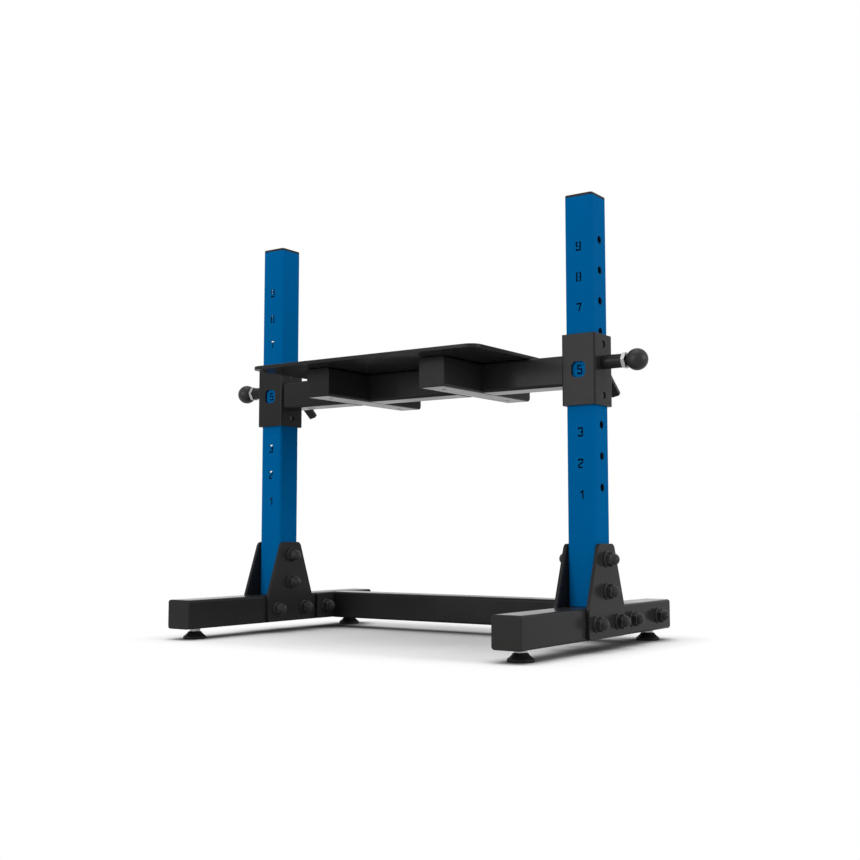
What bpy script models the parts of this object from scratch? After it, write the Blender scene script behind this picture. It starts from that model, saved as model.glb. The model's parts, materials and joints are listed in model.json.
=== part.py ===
# Adjustable step-up platform
# A welded platform rides on two numbered posts and hangs on two sprung pull pins.
# Units are metres. +X runs across the platform, +Y to the back and +Z up.
# The origin is on the floor, under the middle of the stand.

import math

import bmesh
import bpy
from mathutils import Euler, Matrix, Vector

MM = 0.001

# Clearance between pieces that touch on the real object
GAP = 0.3 * MM

# Square tube of the stand and of the platform's beams
TUBE = 50 * MM
TUBE_WALL = 3 * MM
TUBE_CORNER = 5 * MM

# Stand
POST_SPACING = 660 * MM
RAIL_LENGTH = 510 * MM
CAP_HEAD = 4 * MM
CAP_PLUG = 15 * MM
CAP_PLUG_WALL = 2.5 * MM
CROSSBAR_FROM_REAR = 102 * MM
FLANGE_WIDTH = 150 * MM
FLANGE_HEIGHT = 48 * MM
FLANGE_THICKNESS = 6 * MM
CROSSBAR_VENT_SPACING = 150 * MM

# Numbered height positions
STEP_COUNT = 9
STEP_PITCH = 50 * MM
STEP_SHOWN = 5
LOWEST_HOLE_ABOVE_RAIL = 187 * MM
POST_ABOVE_TOP_HOLE = 70.5 * MM
PIN_CLEARANCE = 1 * MM
NUMERAL_DROP = 12 * MM
NUMERAL_WIDTH = 9.4 * MM
NUMERAL_HEIGHT = 15.2 * MM
NUMERAL_STROKE = 2.5 * MM

# Gusset plates that hold the posts on the foot rails
GUSSET_THICKNESS = 6 * MM
GUSSET_FOOT_WIDTH = 123 * MM
GUSSET_TOP_WIDTH = 52 * MM
GUSSET_LIFT = 1.5 * MM
GUSSET_SHOULDER = 47.5 * MM
GUSSET_HEIGHT = 147 * MM
GUSSET_FOOT_RADIUS = 6 * MM
GUSSET_TOP_RADIUS = 10 * MM

# Bolts with a washer and a domed nut at each end
BOLT = 12 * MM
BOLT_CLEARANCE = 1 * MM
WASHER_DIAMETER = 26 * MM
WASHER_THICKNESS = 4 * MM
BOLT_HEX_WIDTH = 19 * MM
BOLT_HEX_HEIGHT = 7.4 * MM
DOME_DIAMETER = 18.6 * MM
DOME_RISE = 0.3 * MM
POST_BOLT_LOW = 24 * MM
POST_BOLT_HIGH = 74 * MM
RAIL_BOLT_SPACING = 75 * MM
FLANGE_BOLT_SPACING = 100 * MM

# Levelling feet
FOOT_FROM_END = 40 * MM
PAD_DIAMETER = 40 * MM
PAD_RIM = 4 * MM
PAD_HEIGHT = 12.5 * MM
PAD_NECK_DIAMETER = 24 * MM
FOOT_STUD = 10 * MM
FOOT_THREAD_SHOWN = 0.7 * MM
FOOT_NUT_WIDTH = 17 * MM
FOOT_NUT_HEIGHT = 5 * MM
FOOT_STUD_INSIDE = 28 * MM
FOOT_BOSS_DIAMETER = 17 * MM
FOOT_BOSS_HEIGHT = 10 * MM

# Sleeves that slide on the posts
LINER_WALL = 1.4 * MM
LINER_INSET = 0.5 * MM
SLEEVE_WALL = 3 * MM
SLEEVE_CORNER = 3.5 * MM
SLEEVE_HEIGHT = 115 * MM
WINDOW_WIDTH = 25 * MM
WINDOW_HEIGHT = 25.8 * MM
WINDOW_CORNER = 5.3 * MM
STUD_DIAMETER = 11.4 * MM
STUD_SPACING = 82 * MM
STUD_RECESS = 2.5 * MM

# Platform
JOIST_SPACING = 240 * MM
JOIST_LENGTH = 275 * MM
JOIST_END_RADIUS = 2 * MM
JOIST_VENT_SPACING = 200 * MM
VENT_DIAMETER = 7 * MM
PLATE_LENGTH = 470 * MM
PLATE_DEPTH = 372 * MM
PLATE_THICKNESS = 6 * MM
PLATE_CORNER = 20 * MM

# Pull pins, measured outward along the pin
PIN_DIAMETER = 12 * MM
PIN_STEM = 8 * MM
PIN_TRAVEL = 12 * MM
PIN_LEAD = 1 * MM
COLLAR_PLAY = 0.5 * MM
COLLAR_THICKNESS = 3 * MM
COLLAR_FROM_SLEEVE = 3.5 * MM
HOUSING_DIAMETER = 22.5 * MM
HOUSING_WALL = 2.5 * MM
HOUSING_LENGTH = 34.5 * MM
HOUSING_NUT_WIDTH = 24 * MM
HOUSING_NUT_HEIGHT = 6.5 * MM
KNOB_DIAMETER = 35 * MM
KNOB_NECK_DIAMETER = 16 * MM
KNOB_NECK_LENGTH = 0.8 * MM
KNOB_GRIP_ON_STEM = 12 * MM
SPRING_WIRE = 1.4 * MM
SPRING_TURNS = 4

# Clamp levers behind the sleeves
CLAMP_ABOVE_CENTRE = 6 * MM
CLAMP_SCREW = 10 * MM
WELD_NUT_WIDTH = 17 * MM
WELD_NUT_HEIGHT = 8 * MM
LEVER_HUB_DIAMETER = 22 * MM
LEVER_HUB_LENGTH = 22 * MM
LEVER_HUB_EDGE = 1.5 * MM
LEVER_HUB_END = 6 * MM
LEVER_ARM_OUT = 13.4 * MM
LEVER_ARM_ROOT = 4 * MM
LEVER_ARM_LENGTH = 53 * MM
LEVER_ARM_ROOT_WIDTH = 19 * MM
LEVER_ARM_TIP_WIDTH = 15 * MM
LEVER_ARM_THICKNESS = 8 * MM
LEVER_ARM_CORNER = 2 * MM
LEVER_SWING = math.radians(13)
LEVER_LEAN = math.radians(39)

# Facets
ARC_STEPS = 2
HOLE_SIDES = 10
TURN_SIDES = 16
SPRING_SIDES = 8
BALL_ARCS = 6
DOME_ARCS = 6
SMOOTH_ANGLE = math.radians(35)
MARKER_SIZE = 30 * MM
OVERSHOOT = 2 * MM
FUSE = 0.5 * MM

# Places worked out from the sizes above
FOOT_LIFT = PAD_HEIGHT + FOOT_THREAD_SHOWN + FOOT_NUT_HEIGHT + GAP
RAIL_TOP = FOOT_LIFT + TUBE
RAIL_Z = FOOT_LIFT + TUBE / 2
POST_X = POST_SPACING / 2
CROSSBAR_Y = RAIL_LENGTH / 2 - CROSSBAR_FROM_REAR
FOOT_SPACING = RAIL_LENGTH - 2 * FOOT_FROM_END
POST_TOP = RAIL_TOP + LOWEST_HOLE_ABOVE_RAIL + (STEP_COUNT - 1) * STEP_PITCH + POST_ABOVE_TOP_HOLE
PLATE_OFFSET = TUBE / 2 + GAP + GUSSET_THICKNESS
PIN_HOLE = PIN_DIAMETER + PIN_CLEARANCE
BOLT_HOLE = BOLT + BOLT_CLEARANCE
LINER_INNER = TUBE + 2 * GAP
LINER_OUTER = LINER_INNER + 2 * LINER_WALL
SLEEVE_INNER = LINER_OUTER + 2 * GAP
SLEEVE_OUTER = SLEEVE_INNER + 2 * SLEEVE_WALL
PIN_Z = RAIL_TOP + LOWEST_HOLE_ABOVE_RAIL + (STEP_SHOWN - 1) * STEP_PITCH
SLEEVE_Z = PIN_Z - NUMERAL_DROP
CLAMP_Z = SLEEVE_Z + CLAMP_ABOVE_CENTRE
PIN_NOSE = TUBE / 2 + GAP
HOUSING_BORE = HOUSING_DIAMETER - 2 * HOUSING_WALL
HOUSING_START = SLEEVE_OUTER / 2 + GAP
HOUSING_END = HOUSING_START + HOUSING_LENGTH
HOUSING_NUT_END = HOUSING_END + GAP + HOUSING_NUT_HEIGHT
KNOB_START = HOUSING_NUT_END + GAP
STEM_END = KNOB_START + KNOB_GRIP_ON_STEM
COLLAR_START = SLEEVE_OUTER / 2 + COLLAR_FROM_SLEEVE
COLLAR_END = COLLAR_START + COLLAR_THICKNESS
HUB_START = SLEEVE_OUTER / 2 + WELD_NUT_HEIGHT + 2 * GAP

SIDES = {"left": -1, "right": 1}
ENDS = {"front": -1, "rear": 1}

# Stencil strokes of each numeral, in halves of its width and height from its centre
NUMERALS = {
    1: [[(-0.45, 0.6), (0.95, 1), (0.95, -1)]],
    2: [[(-1, 0.6), (-1, 1), (1, 1), (1, 0.3), (-1, -0.45), (-1, -1), (1, -1)]],
    3: [[(-1, 0.6), (-1, 1), (1, 1), (1, -1), (-1, -1), (-1, -0.6)], [(1, 0), (-0.2, 0)]],
    4: [[(0, 1), (-1, -0.35), (1, -0.35)], [(0.45, 0.25), (0.45, -1)]],
    5: [[(1, 1), (-1, 1), (-1, 0.1), (1, 0.1), (1, -1), (-1, -1), (-1, -0.6)]],
    6: [
        [(-0.3, -1), (-1, -1), (-1, 1), (1, 1), (1, 0.6)],
        [(0.3, -1), (1, -1), (1, 0), (0.3, 0)],
        [(-1, 0), (-0.3, 0)],
    ],
    7: [[(-1, 0.7), (-1, 1), (1, 1), (-0.1, -1)]],
    8: [
        [(-0.3, 1), (-1, 1), (-1, -1), (-0.3, -1)],
        [(0.3, 1), (1, 1), (1, -1), (0.3, -1)],
        [(-1, 0), (-0.3, 0)],
        [(1, 0), (0.3, 0)],
    ],
    9: [
        [(0.3, 1), (1, 1), (1, -1), (-1, -1), (-1, -0.6)],
        [(-0.3, 1), (-1, 1), (-1, 0), (-0.3, 0)],
        [(1, 0), (0.3, 0)],
    ],
}

# Turns that lay a piece's own Z along X, along -X, along Y or along -Y
ALONG_X = (0, math.pi / 2, 0)
ALONG_BACK_X = (0, -math.pi / 2, 0)
ALONG_Y = (-math.pi / 2, 0, 0)
ALONG_FRONT_Y = (math.pi / 2, 0, 0)

# Turn that stands a flat plate up across the X axis, its own Y upward
UPRIGHT_PLATE = (math.pi / 2, 0, math.pi / 2)

# Turn that brings the corners of a six-sided rod from its own Y axis to its X axis
CORNERS_ON_X = (0, 0, math.pi / 6)


def clear_scene():
    for old in list(bpy.data.objects):
        bpy.data.objects.remove(old, do_unlink=True)


def new_collection(name):
    collection = bpy.data.collections.new(name)
    bpy.context.scene.collection.children.link(collection)
    return collection


def material(name, colour, roughness, metallic=0.0):
    made = bpy.data.materials.new(name)
    made.use_nodes = True
    shader = made.node_tree.nodes["Principled BSDF"]
    shader.inputs["Base Color"].default_value = (*colour, 1.0)
    shader.inputs["Roughness"].default_value = roughness
    shader.inputs["Metallic"].default_value = metallic
    made.diffuse_color = (*colour, 1.0)
    return made


clear_scene()
PART = new_collection("adjustable_step_up_platform")
CUTTERS = new_collection("cutters")
BLACK_POWDER = material("black_powder_coat", (0.020, 0.020, 0.021), 0.55)
BLUE_POWDER = material("blue_powder_coat", (0.000, 0.105, 0.300), 0.45)
ZINC = material("zinc_plated_steel", (0.620, 0.620, 0.600), 0.32, 1.0)
STEEL = material("bright_steel", (0.560, 0.560, 0.570), 0.28, 1.0)
SPRING_STEEL = material("spring_steel", (0.350, 0.350, 0.360), 0.35, 1.0)
BLACK_PLASTIC = material("black_plastic", (0.018, 0.018, 0.018), 0.45)
KNOB_PLASTIC = material("knob_plastic", (0.014, 0.014, 0.014), 0.30)
LINER_PLASTIC = material("liner_plastic", (0.030, 0.030, 0.030), 0.50)
FOOT_RUBBER = material("foot_rubber", (0.012, 0.012, 0.012), 0.80)


def adopt(made, parent):
    """Parent an object without moving it, so that its location stays a place in the world."""
    made.parent = parent
    made.matrix_parent_inverse = Matrix.Translation(parent.location).inverted()


def joint_marker(name, place, parent):
    marker = bpy.data.objects.new(name, None)
    marker.location = place
    marker.empty_display_size = MARKER_SIZE
    PART.objects.link(marker)
    if parent is not None:
        adopt(marker, parent)
    return marker


def piece(name, mesh, finish, place=(0, 0, 0), turn=(0, 0, 0), parent=None):
    made = bpy.data.objects.new(name, mesh)
    made.location = place
    made.rotation_euler = turn
    PART.objects.link(made)
    made.data.materials.clear()
    made.data.materials.append(finish)
    if parent is not None:
        adopt(made, parent)
    return made


def cutter(name, mesh, place=(0, 0, 0), turn=(0, 0, 0)):
    made = bpy.data.objects.new(name, mesh)
    made.location = place
    made.rotation_euler = turn
    made.hide_render = True
    made.display_type = "WIRE"
    CUTTERS.objects.link(made)
    return made


def combine(target, tool, operation):
    step = target.modifiers.new(tool.name, "BOOLEAN")
    step.operation = operation
    step.solver = "EXACT"
    step.object = tool


def cut(target, tool):
    combine(target, tool, "DIFFERENCE")


def fuse(target, tool):
    combine(target, tool, "UNION")


def settled_mesh(made):
    """The mesh of an object with its modifiers, or its curve bevel, worked out."""
    bpy.context.view_layer.update()
    graph = bpy.context.evaluated_depsgraph_get()
    mesh = bpy.data.meshes.new_from_object(made.evaluated_get(graph))
    weld = bmesh.new()
    weld.from_mesh(mesh)
    bmesh.ops.remove_doubles(weld, verts=weld.verts, dist=0.001 * MM)
    weld.to_mesh(mesh)
    weld.free()
    return mesh


def smooth(mesh):
    mesh.shade_smooth()
    mesh.set_sharp_from_angle(angle=SMOOTH_ANGLE)
    return mesh


def take_mesh(made):
    """Settle an object into a mesh and drop the object."""
    mesh = settled_mesh(made)
    mesh.name = made.name
    bpy.data.objects.remove(made, do_unlink=True)
    return mesh


# Outlines

def rounded(points, radii, steps=ARC_STEPS):
    """A closed outline whose corners are arcs of the given radii."""
    outline = []
    count = len(points)
    for index, point in enumerate(points):
        here = Vector(point)
        back = (Vector(points[index - 1]) - here).normalized()
        ahead = (Vector(points[(index + 1) % count]) - here).normalized()
        half = math.acos(max(-1.0, min(1.0, back.dot(ahead)))) / 2
        radius = radii[index % len(radii)]
        reach = radius / math.tan(half)
        middle = here + (back + ahead).normalized() * (radius / math.sin(half))
        start = here + back * reach - middle
        sweep = (here + ahead * reach - middle).angle_signed(start)
        for step in range(steps + 1):
            angle = sweep * step / steps
            turned_by = Matrix.Rotation(angle, 2)
            outline.append(tuple(middle + turned_by @ start))
    return outline


def cut_corners(points, reach):
    """A closed outline with each of its corners cut straight across."""
    outline = []
    count = len(points)
    for index, point in enumerate(points):
        here = Vector(point)
        back = Vector(points[index - 1]) - here
        ahead = Vector(points[(index + 1) % count]) - here
        outline += [tuple(here + leg.normalized() * reach) for leg in (back, ahead)]
    return outline


def rectangle(width, height):
    return [
        (-width / 2, -height / 2),
        (width / 2, -height / 2),
        (width / 2, height / 2),
        (-width / 2, height / 2),
    ]


def rounded_rectangle(width, height, radius):
    return rounded(rectangle(width, height), [radius])


def polygon(radius, sides, first_angle=0.0):
    angles = [first_angle + 2 * math.pi * index / sides for index in range(sides)]
    return [(radius * math.cos(angle), radius * math.sin(angle)) for angle in angles]


def moved(outline, x, y):
    return [(px + x, py + y) for px, py in outline]


def hexagon(width):
    """A hexagon with its corners on the Y axis."""
    return polygon(width / math.sqrt(3), 6, math.pi / 2)


def band(path, width):
    """The outline of a flat stroke along a path, mitred at its corners."""
    points = [Vector(point) for point in path]
    left = []
    right = []
    for index, here in enumerate(points):
        before = (here - points[index - 1]).normalized() if index > 0 else None
        after = (points[index + 1] - here).normalized() if index < len(points) - 1 else None
        before = before or after
        after = after or before
        along = (before + after).normalized()
        side = Vector((-along.y, along.x))
        reach = width / 2 / side.dot(Vector((-before.y, before.x)))
        left.append(tuple(here + side * reach))
        right.append(tuple(here - side * reach))
    return left + right[::-1]


# Solids

def plate_mesh(name, outlines, thickness):
    """A flat plate, centred on its own XY plane, from closed outlines. Inner ones are holes."""
    curve = bpy.data.curves.new(name, "CURVE")
    curve.dimensions = "2D"
    curve.fill_mode = "BOTH"
    curve.extrude = thickness / 2
    for outline in outlines:
        spline = curve.splines.new("POLY")
        spline.points.add(len(outline) - 1)
        spline.use_cyclic_u = True
        for point, (x, y) in zip(spline.points, outline):
            point.co = (x, y, 0, 1)
    holder = bpy.data.objects.new(name, curve)
    CUTTERS.objects.link(holder)
    mesh = take_mesh(holder)
    bpy.data.curves.remove(curve)
    return mesh


def section_mesh(name, size, corner, length, wall=None):
    """A square bar along its own Z, or a tube where a wall is given."""
    outlines = [rounded_rectangle(size, size, corner)]
    if wall is not None:
        inner = size - 2 * wall
        outlines.append(rounded_rectangle(inner, inner, max(corner - wall, wall / 2)))
    return plate_mesh(name, outlines, length)


def rods_mesh(name, diameter, length, centres, turn=(0, 0, 0), sides=HOLE_SIDES):
    """Equal rods in one mesh, each centred on one of the given places."""
    shape = bmesh.new()
    for centre in centres:
        bmesh.ops.create_cone(
            shape,
            cap_ends=True,
            segments=sides,
            radius1=diameter / 2,
            radius2=diameter / 2,
            depth=length,
            matrix=Matrix.Translation(centre) @ Euler(turn).to_matrix().to_4x4(),
        )
    mesh = bpy.data.meshes.new(name)
    shape.to_mesh(mesh)
    shape.free()
    return mesh


def holes_mesh(name, diameter, length, centres, turn=(0, 0, 0)):
    """Cutters for round holes, faceted outside their circle so that the flats keep its size."""
    return rods_mesh(name, diameter / math.cos(math.pi / HOLE_SIDES), length, centres, turn)


def hole_outline(diameter, x=0, y=0):
    """A round hole in a plate, faceted outside its circle, no facet square to the plate."""
    radius = diameter / 2 / math.cos(math.pi / HOLE_SIDES)
    quarter_facet = math.pi / 2 / HOLE_SIDES
    return moved(polygon(radius, HOLE_SIDES, quarter_facet), x, y)


def turned_mesh(name, profile, sides=TURN_SIDES, closed=False):
    """A turned piece about its own Z. The profile runs down its outer side."""
    mesh = bpy.data.meshes.new(name)
    count = len(profile)
    edges = [(index, index + 1) for index in range(count - 1)]
    if closed:
        edges.append((count - 1, 0))
    mesh.from_pydata([(radius, 0, height) for radius, height in profile], edges, [])
    holder = bpy.data.objects.new(name, mesh)
    CUTTERS.objects.link(holder)
    spin = holder.modifiers.new("spin", "SCREW")
    spin.axis = "Z"
    spin.angle = 2 * math.pi
    spin.steps = sides
    spin.render_steps = sides
    spin.use_merge_vertices = True
    spin.merge_threshold = 0.01 * MM
    return smooth(take_mesh(holder))


def hole_height(number):
    return RAIL_TOP + LOWEST_HOLE_ABOVE_RAIL + (number - 1) * STEP_PITCH


def spaced(distance):
    """The two places a given distance apart about the middle."""
    return (-distance / 2, distance / 2)


# Stand

def end_cap_mesh():
    """A tube plug with its head above its own XY plane and its hollow plug below."""
    name = "end_cap"
    head = cutter(name, section_mesh(name, TUBE, TUBE_CORNER, CAP_HEAD), (0, 0, CAP_HEAD / 2))
    plug_size = TUBE - 2 * TUBE_WALL - 2 * GAP
    plug_mesh = section_mesh("plug", plug_size, TUBE_CORNER - TUBE_WALL, CAP_PLUG + FUSE, CAP_PLUG_WALL)
    plug = cutter("plug", plug_mesh, (0, 0, (FUSE - CAP_PLUG) / 2))
    fuse(head, plug)
    mesh = take_mesh(head)
    mesh.transform(Matrix.Translation((0, 0, CAP_HEAD / 2)))
    bpy.data.objects.remove(plug, do_unlink=True)
    return mesh


def make_foot_rails(cap_mesh):
    length = RAIL_LENGTH - 2 * CAP_HEAD - 2 * GAP
    flange_bolts = [CROSSBAR_Y + offset for offset in spaced(FLANGE_BOLT_SPACING)]
    bolt_places = [*spaced(RAIL_BOLT_SPACING), *flange_bolts]
    boss_z = FOOT_LIFT + TUBE_WALL + (FOOT_BOSS_HEIGHT - FUSE) / 2
    stud_z = FOOT_LIFT + (TUBE_WALL + FOOT_BOSS_HEIGHT) / 2
    stud_length = TUBE_WALL + FOOT_BOSS_HEIGHT + 2 * OVERSHOOT
    for side_name, side in SIDES.items():
        name = "foot_rail_" + side_name
        x = side * POST_X
        mesh = section_mesh(name, TUBE, TUBE_CORNER, length, TUBE_WALL)
        rail = piece(name, mesh, BLACK_POWDER, (x, 0, RAIL_Z), ALONG_Y)
        bosses = [(x, y, boss_z) for y in spaced(FOOT_SPACING)]
        boss_mesh = rods_mesh(name + "_bosses", FOOT_BOSS_DIAMETER, FOOT_BOSS_HEIGHT + FUSE, bosses)
        fuse(rail, cutter(name + "_bosses", boss_mesh))
        studs = [(x, y, stud_z) for y in spaced(FOOT_SPACING)]
        stud_mesh = holes_mesh(name + "_stud_holes", FOOT_STUD + 2 * GAP, stud_length, studs)
        cut(rail, cutter(name + "_stud_holes", stud_mesh))
        bolts = [(x, y, RAIL_Z) for y in bolt_places]
        bolt_mesh = holes_mesh(name + "_bolt_holes", BOLT_HOLE, TUBE + 2 * OVERSHOOT, bolts, ALONG_X)
        cut(rail, cutter(name + "_bolt_holes", bolt_mesh))
        for end_name, end in ENDS.items():
            cap_name = "rail_end_cap_" + side_name + "_" + end_name
            place = (x, end * (RAIL_LENGTH / 2 - CAP_HEAD), RAIL_Z)
            turn = ALONG_Y if end > 0 else ALONG_FRONT_Y
            piece(cap_name, cap_mesh, BLACK_PLASTIC, place, turn)


def make_crossbar():
    flange_x = POST_X - TUBE / 2 - GAP - FLANGE_THICKNESS / 2
    tube_mesh = section_mesh("crossbar", TUBE, TUBE_CORNER, 2 * flange_x, TUBE_WALL)
    bar = piece("crossbar", tube_mesh, BLACK_POWDER, (0, CROSSBAR_Y, RAIL_Z), ALONG_X)
    holes = [hole_outline(BOLT_HOLE, y) for y in spaced(FLANGE_BOLT_SPACING)]
    outline = rounded_rectangle(FLANGE_WIDTH, FLANGE_HEIGHT, TUBE_CORNER)
    for side_name, side in SIDES.items():
        name = "crossbar_flange_" + side_name
        flange_mesh = plate_mesh(name, [outline, *holes], FLANGE_THICKNESS)
        fuse(bar, cutter(name, flange_mesh, (side * flange_x, CROSSBAR_Y, RAIL_Z), UPRIGHT_PLATE))
    vents = [(x, CROSSBAR_Y, RAIL_TOP) for x in spaced(CROSSBAR_VENT_SPACING)]
    vent_mesh = holes_mesh("crossbar_vents", VENT_DIAMETER, 2 * (TUBE_WALL + OVERSHOOT), vents)
    cut(bar, cutter("crossbar_vents", vent_mesh))


def numeral_strokes(layer):
    """The outlines of one stroke of each numeral, at the numeral's height above the floor."""
    half_width = (NUMERAL_WIDTH - NUMERAL_STROKE) / 2
    half_height = (NUMERAL_HEIGHT - NUMERAL_STROKE) / 2
    outlines = []
    for number, strokes in NUMERALS.items():
        if number > STEP_COUNT or layer >= len(strokes):
            continue
        middle = hole_height(number) - NUMERAL_DROP
        path = [(x * half_width, middle + y * half_height) for x, y in strokes[layer]]
        outlines.append(band(path, NUMERAL_STROKE))
    return outlines


def make_uprights(cap_mesh):
    bottom = RAIL_TOP + GAP
    through_wall = 2 * (TUBE_WALL + OVERSHOOT)
    layers = max(len(strokes) for strokes in NUMERALS.values())
    bolt_heights = [RAIL_TOP + POST_BOLT_LOW, RAIL_TOP + POST_BOLT_HIGH]
    for side_name, side in SIDES.items():
        name = "upright_" + side_name
        x = side * POST_X
        mesh = section_mesh(name, TUBE, TUBE_CORNER, POST_TOP - bottom, TUBE_WALL)
        post = piece(name, mesh, BLUE_POWDER, (x, 0, (bottom + POST_TOP) / 2))
        bolts = [(x, 0, z) for z in bolt_heights]
        bolt_mesh = holes_mesh(name + "_bolt_holes", BOLT_HOLE, TUBE + 2 * OVERSHOOT, bolts, ALONG_X)
        cut(post, cutter(name + "_bolt_holes", bolt_mesh))
        wall_x = side * (POST_X + TUBE / 2)
        pins = [(wall_x, 0, hole_height(number)) for number in range(1, STEP_COUNT + 1)]
        pin_mesh = holes_mesh(name + "_pin_holes", PIN_HOLE, through_wall, pins, ALONG_X)
        cut(post, cutter(name + "_pin_holes", pin_mesh))
        for layer in range(layers):
            stroke_name = name + "_numerals_" + str(layer + 1)
            strokes = plate_mesh(stroke_name, numeral_strokes(layer), through_wall)
            cut(post, cutter(stroke_name, strokes, (x, -TUBE / 2, 0), ALONG_FRONT_Y))
        piece("upright_cap_" + side_name, cap_mesh, BLACK_PLASTIC, (x, 0, POST_TOP + GAP))


def make_gussets():
    foot = GUSSET_FOOT_WIDTH / 2
    top = GUSSET_TOP_WIDTH / 2
    low = GUSSET_LIFT - TUBE / 2
    corners = [
        (-foot, low),
        (foot, low),
        (foot, low + GUSSET_SHOULDER),
        (top, low + GUSSET_HEIGHT),
        (-top, low + GUSSET_HEIGHT),
        (-foot, low + GUSSET_SHOULDER),
    ]
    radii = [
        GUSSET_FOOT_RADIUS,
        GUSSET_FOOT_RADIUS,
        GUSSET_TOP_RADIUS,
        GUSSET_TOP_RADIUS,
        GUSSET_TOP_RADIUS,
        GUSSET_TOP_RADIUS,
    ]
    holes = [(y, 0) for y in spaced(RAIL_BOLT_SPACING)]
    holes += [(0, TUBE / 2 + height) for height in (POST_BOLT_LOW, POST_BOLT_HIGH)]
    outlines = [rounded(corners, radii), *(hole_outline(BOLT_HOLE, y, z) for y, z in holes)]
    mesh = plate_mesh("gusset", outlines, GUSSET_THICKNESS)
    offset = TUBE / 2 + GAP + GUSSET_THICKNESS / 2
    for side_name, side in SIDES.items():
        for face_name, face in {"outer": 1, "inner": -1}.items():
            name = "gusset_" + side_name + "_" + face_name
            place = (side * (POST_X + face * offset), 0, RAIL_Z)
            piece(name, mesh, BLACK_POWDER, place, UPRIGHT_PLATE)


def bolt_mesh_between(name, inner, outer):
    """A bolt along its own Z with a washer and a domed nut past each end of its grip."""
    shank_length = inner + outer + 2 * WASHER_THICKNESS
    shank = cutter(name, rods_mesh(name, BOLT, shank_length, [(0, 0, (outer - inner) / 2)]))
    tools = []
    for end, face in ((-1, inner), (1, outer)):
        seat = end * face
        washer_at = (0, 0, seat + end * WASHER_THICKNESS / 2)
        washer = rods_mesh("washer", WASHER_DIAMETER, WASHER_THICKNESS, [washer_at])
        hex_height = BOLT_HEX_HEIGHT + FUSE
        hex_at = (0, 0, seat + end * (WASHER_THICKNESS - FUSE + hex_height / 2))
        hex_corners = BOLT_HEX_WIDTH * 2 / math.sqrt(3)
        hex_body = rods_mesh("hex", hex_corners, hex_height, [hex_at], CORNERS_ON_X, sides=6)
        dome_z = seat + end * (WASHER_THICKNESS + BOLT_HEX_HEIGHT + DOME_RISE)
        dome = bmesh.new()
        bmesh.ops.create_uvsphere(
            dome,
            u_segments=HOLE_SIDES,
            v_segments=DOME_ARCS,
            radius=DOME_DIAMETER / 2,
            matrix=Matrix.Translation((0, 0, dome_z)),
        )
        dome_mesh = bpy.data.meshes.new("dome")
        dome.to_mesh(dome_mesh)
        dome.free()
        tools += [cutter("bolt_tool", mesh) for mesh in (washer, hex_body, dome_mesh)]
    for tool in tools:
        fuse(shank, tool)
    mesh = smooth(take_mesh(shank))
    for tool in tools:
        bpy.data.objects.remove(tool, do_unlink=True)
    return mesh


def make_bolts():
    through_gussets = bolt_mesh_between("gusset_bolt", PLATE_OFFSET + GAP, PLATE_OFFSET + GAP)
    flange_grip = TUBE / 2 + GAP + FLANGE_THICKNESS
    through_flange = bolt_mesh_between("flange_bolt", flange_grip + GAP, TUBE / 2 + GAP)
    front_flange, rear_flange = (CROSSBAR_Y + offset for offset in spaced(FLANGE_BOLT_SPACING))
    front_rail, rear_rail = spaced(RAIL_BOLT_SPACING)
    bolts = {
        "upright_upper": (through_gussets, 0, RAIL_TOP + POST_BOLT_HIGH),
        "upright_lower": (through_gussets, 0, RAIL_TOP + POST_BOLT_LOW),
        "rail_front": (through_gussets, front_rail, RAIL_Z),
        "rail_rear": (through_gussets, rear_rail, RAIL_Z),
        "flange_front": (through_flange, front_flange, RAIL_Z),
        "flange_rear": (through_flange, rear_flange, RAIL_Z),
    }
    for side_name, side in SIDES.items():
        turn = ALONG_X if side > 0 else ALONG_BACK_X
        for bolt_name, (mesh, y, z) in bolts.items():
            name = "bolt_" + bolt_name + "_" + side_name
            piece(name, mesh, BLACK_PLASTIC, (side * POST_X, y, z), turn)


def make_levelling_feet():
    pad = PAD_DIAMETER / 2
    neck = PAD_NECK_DIAMETER / 2
    stud = FOOT_STUD / 2
    stud_top = FOOT_LIFT + FOOT_STUD_INSIDE
    profile = [
        (0, stud_top),
        (stud, stud_top),
        (stud, PAD_HEIGHT),
        (neck, PAD_HEIGHT),
        (pad, PAD_RIM),
        (pad, 0),
        (0, 0),
    ]
    foot_mesh = turned_mesh("levelling_foot", profile)
    nut_outlines = [hexagon(FOOT_NUT_WIDTH), hole_outline(FOOT_STUD + 2 * GAP)]
    nut_mesh = plate_mesh("levelling_nut", nut_outlines, FOOT_NUT_HEIGHT)
    nut_z = FOOT_LIFT - GAP - FOOT_NUT_HEIGHT / 2
    for side_name, side in SIDES.items():
        for end_name, end in ENDS.items():
            label = side_name + "_" + end_name
            x = side * POST_X
            y = end * FOOT_SPACING / 2
            marker = joint_marker("levelling_joint_" + label, (x, y, 0), None)
            piece("levelling_foot_" + label, foot_mesh, FOOT_RUBBER, (x, y, 0), parent=marker)
            piece("levelling_nut_" + label, nut_mesh, ZINC, (x, y, nut_z))


# Sliding platform

def window_mesh(name, margin, depth):
    outline = rectangle(WINDOW_WIDTH + 2 * margin, WINDOW_HEIGHT + 2 * margin)
    return plate_mesh(name, [cut_corners(outline, WINDOW_CORNER)], depth)


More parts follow.
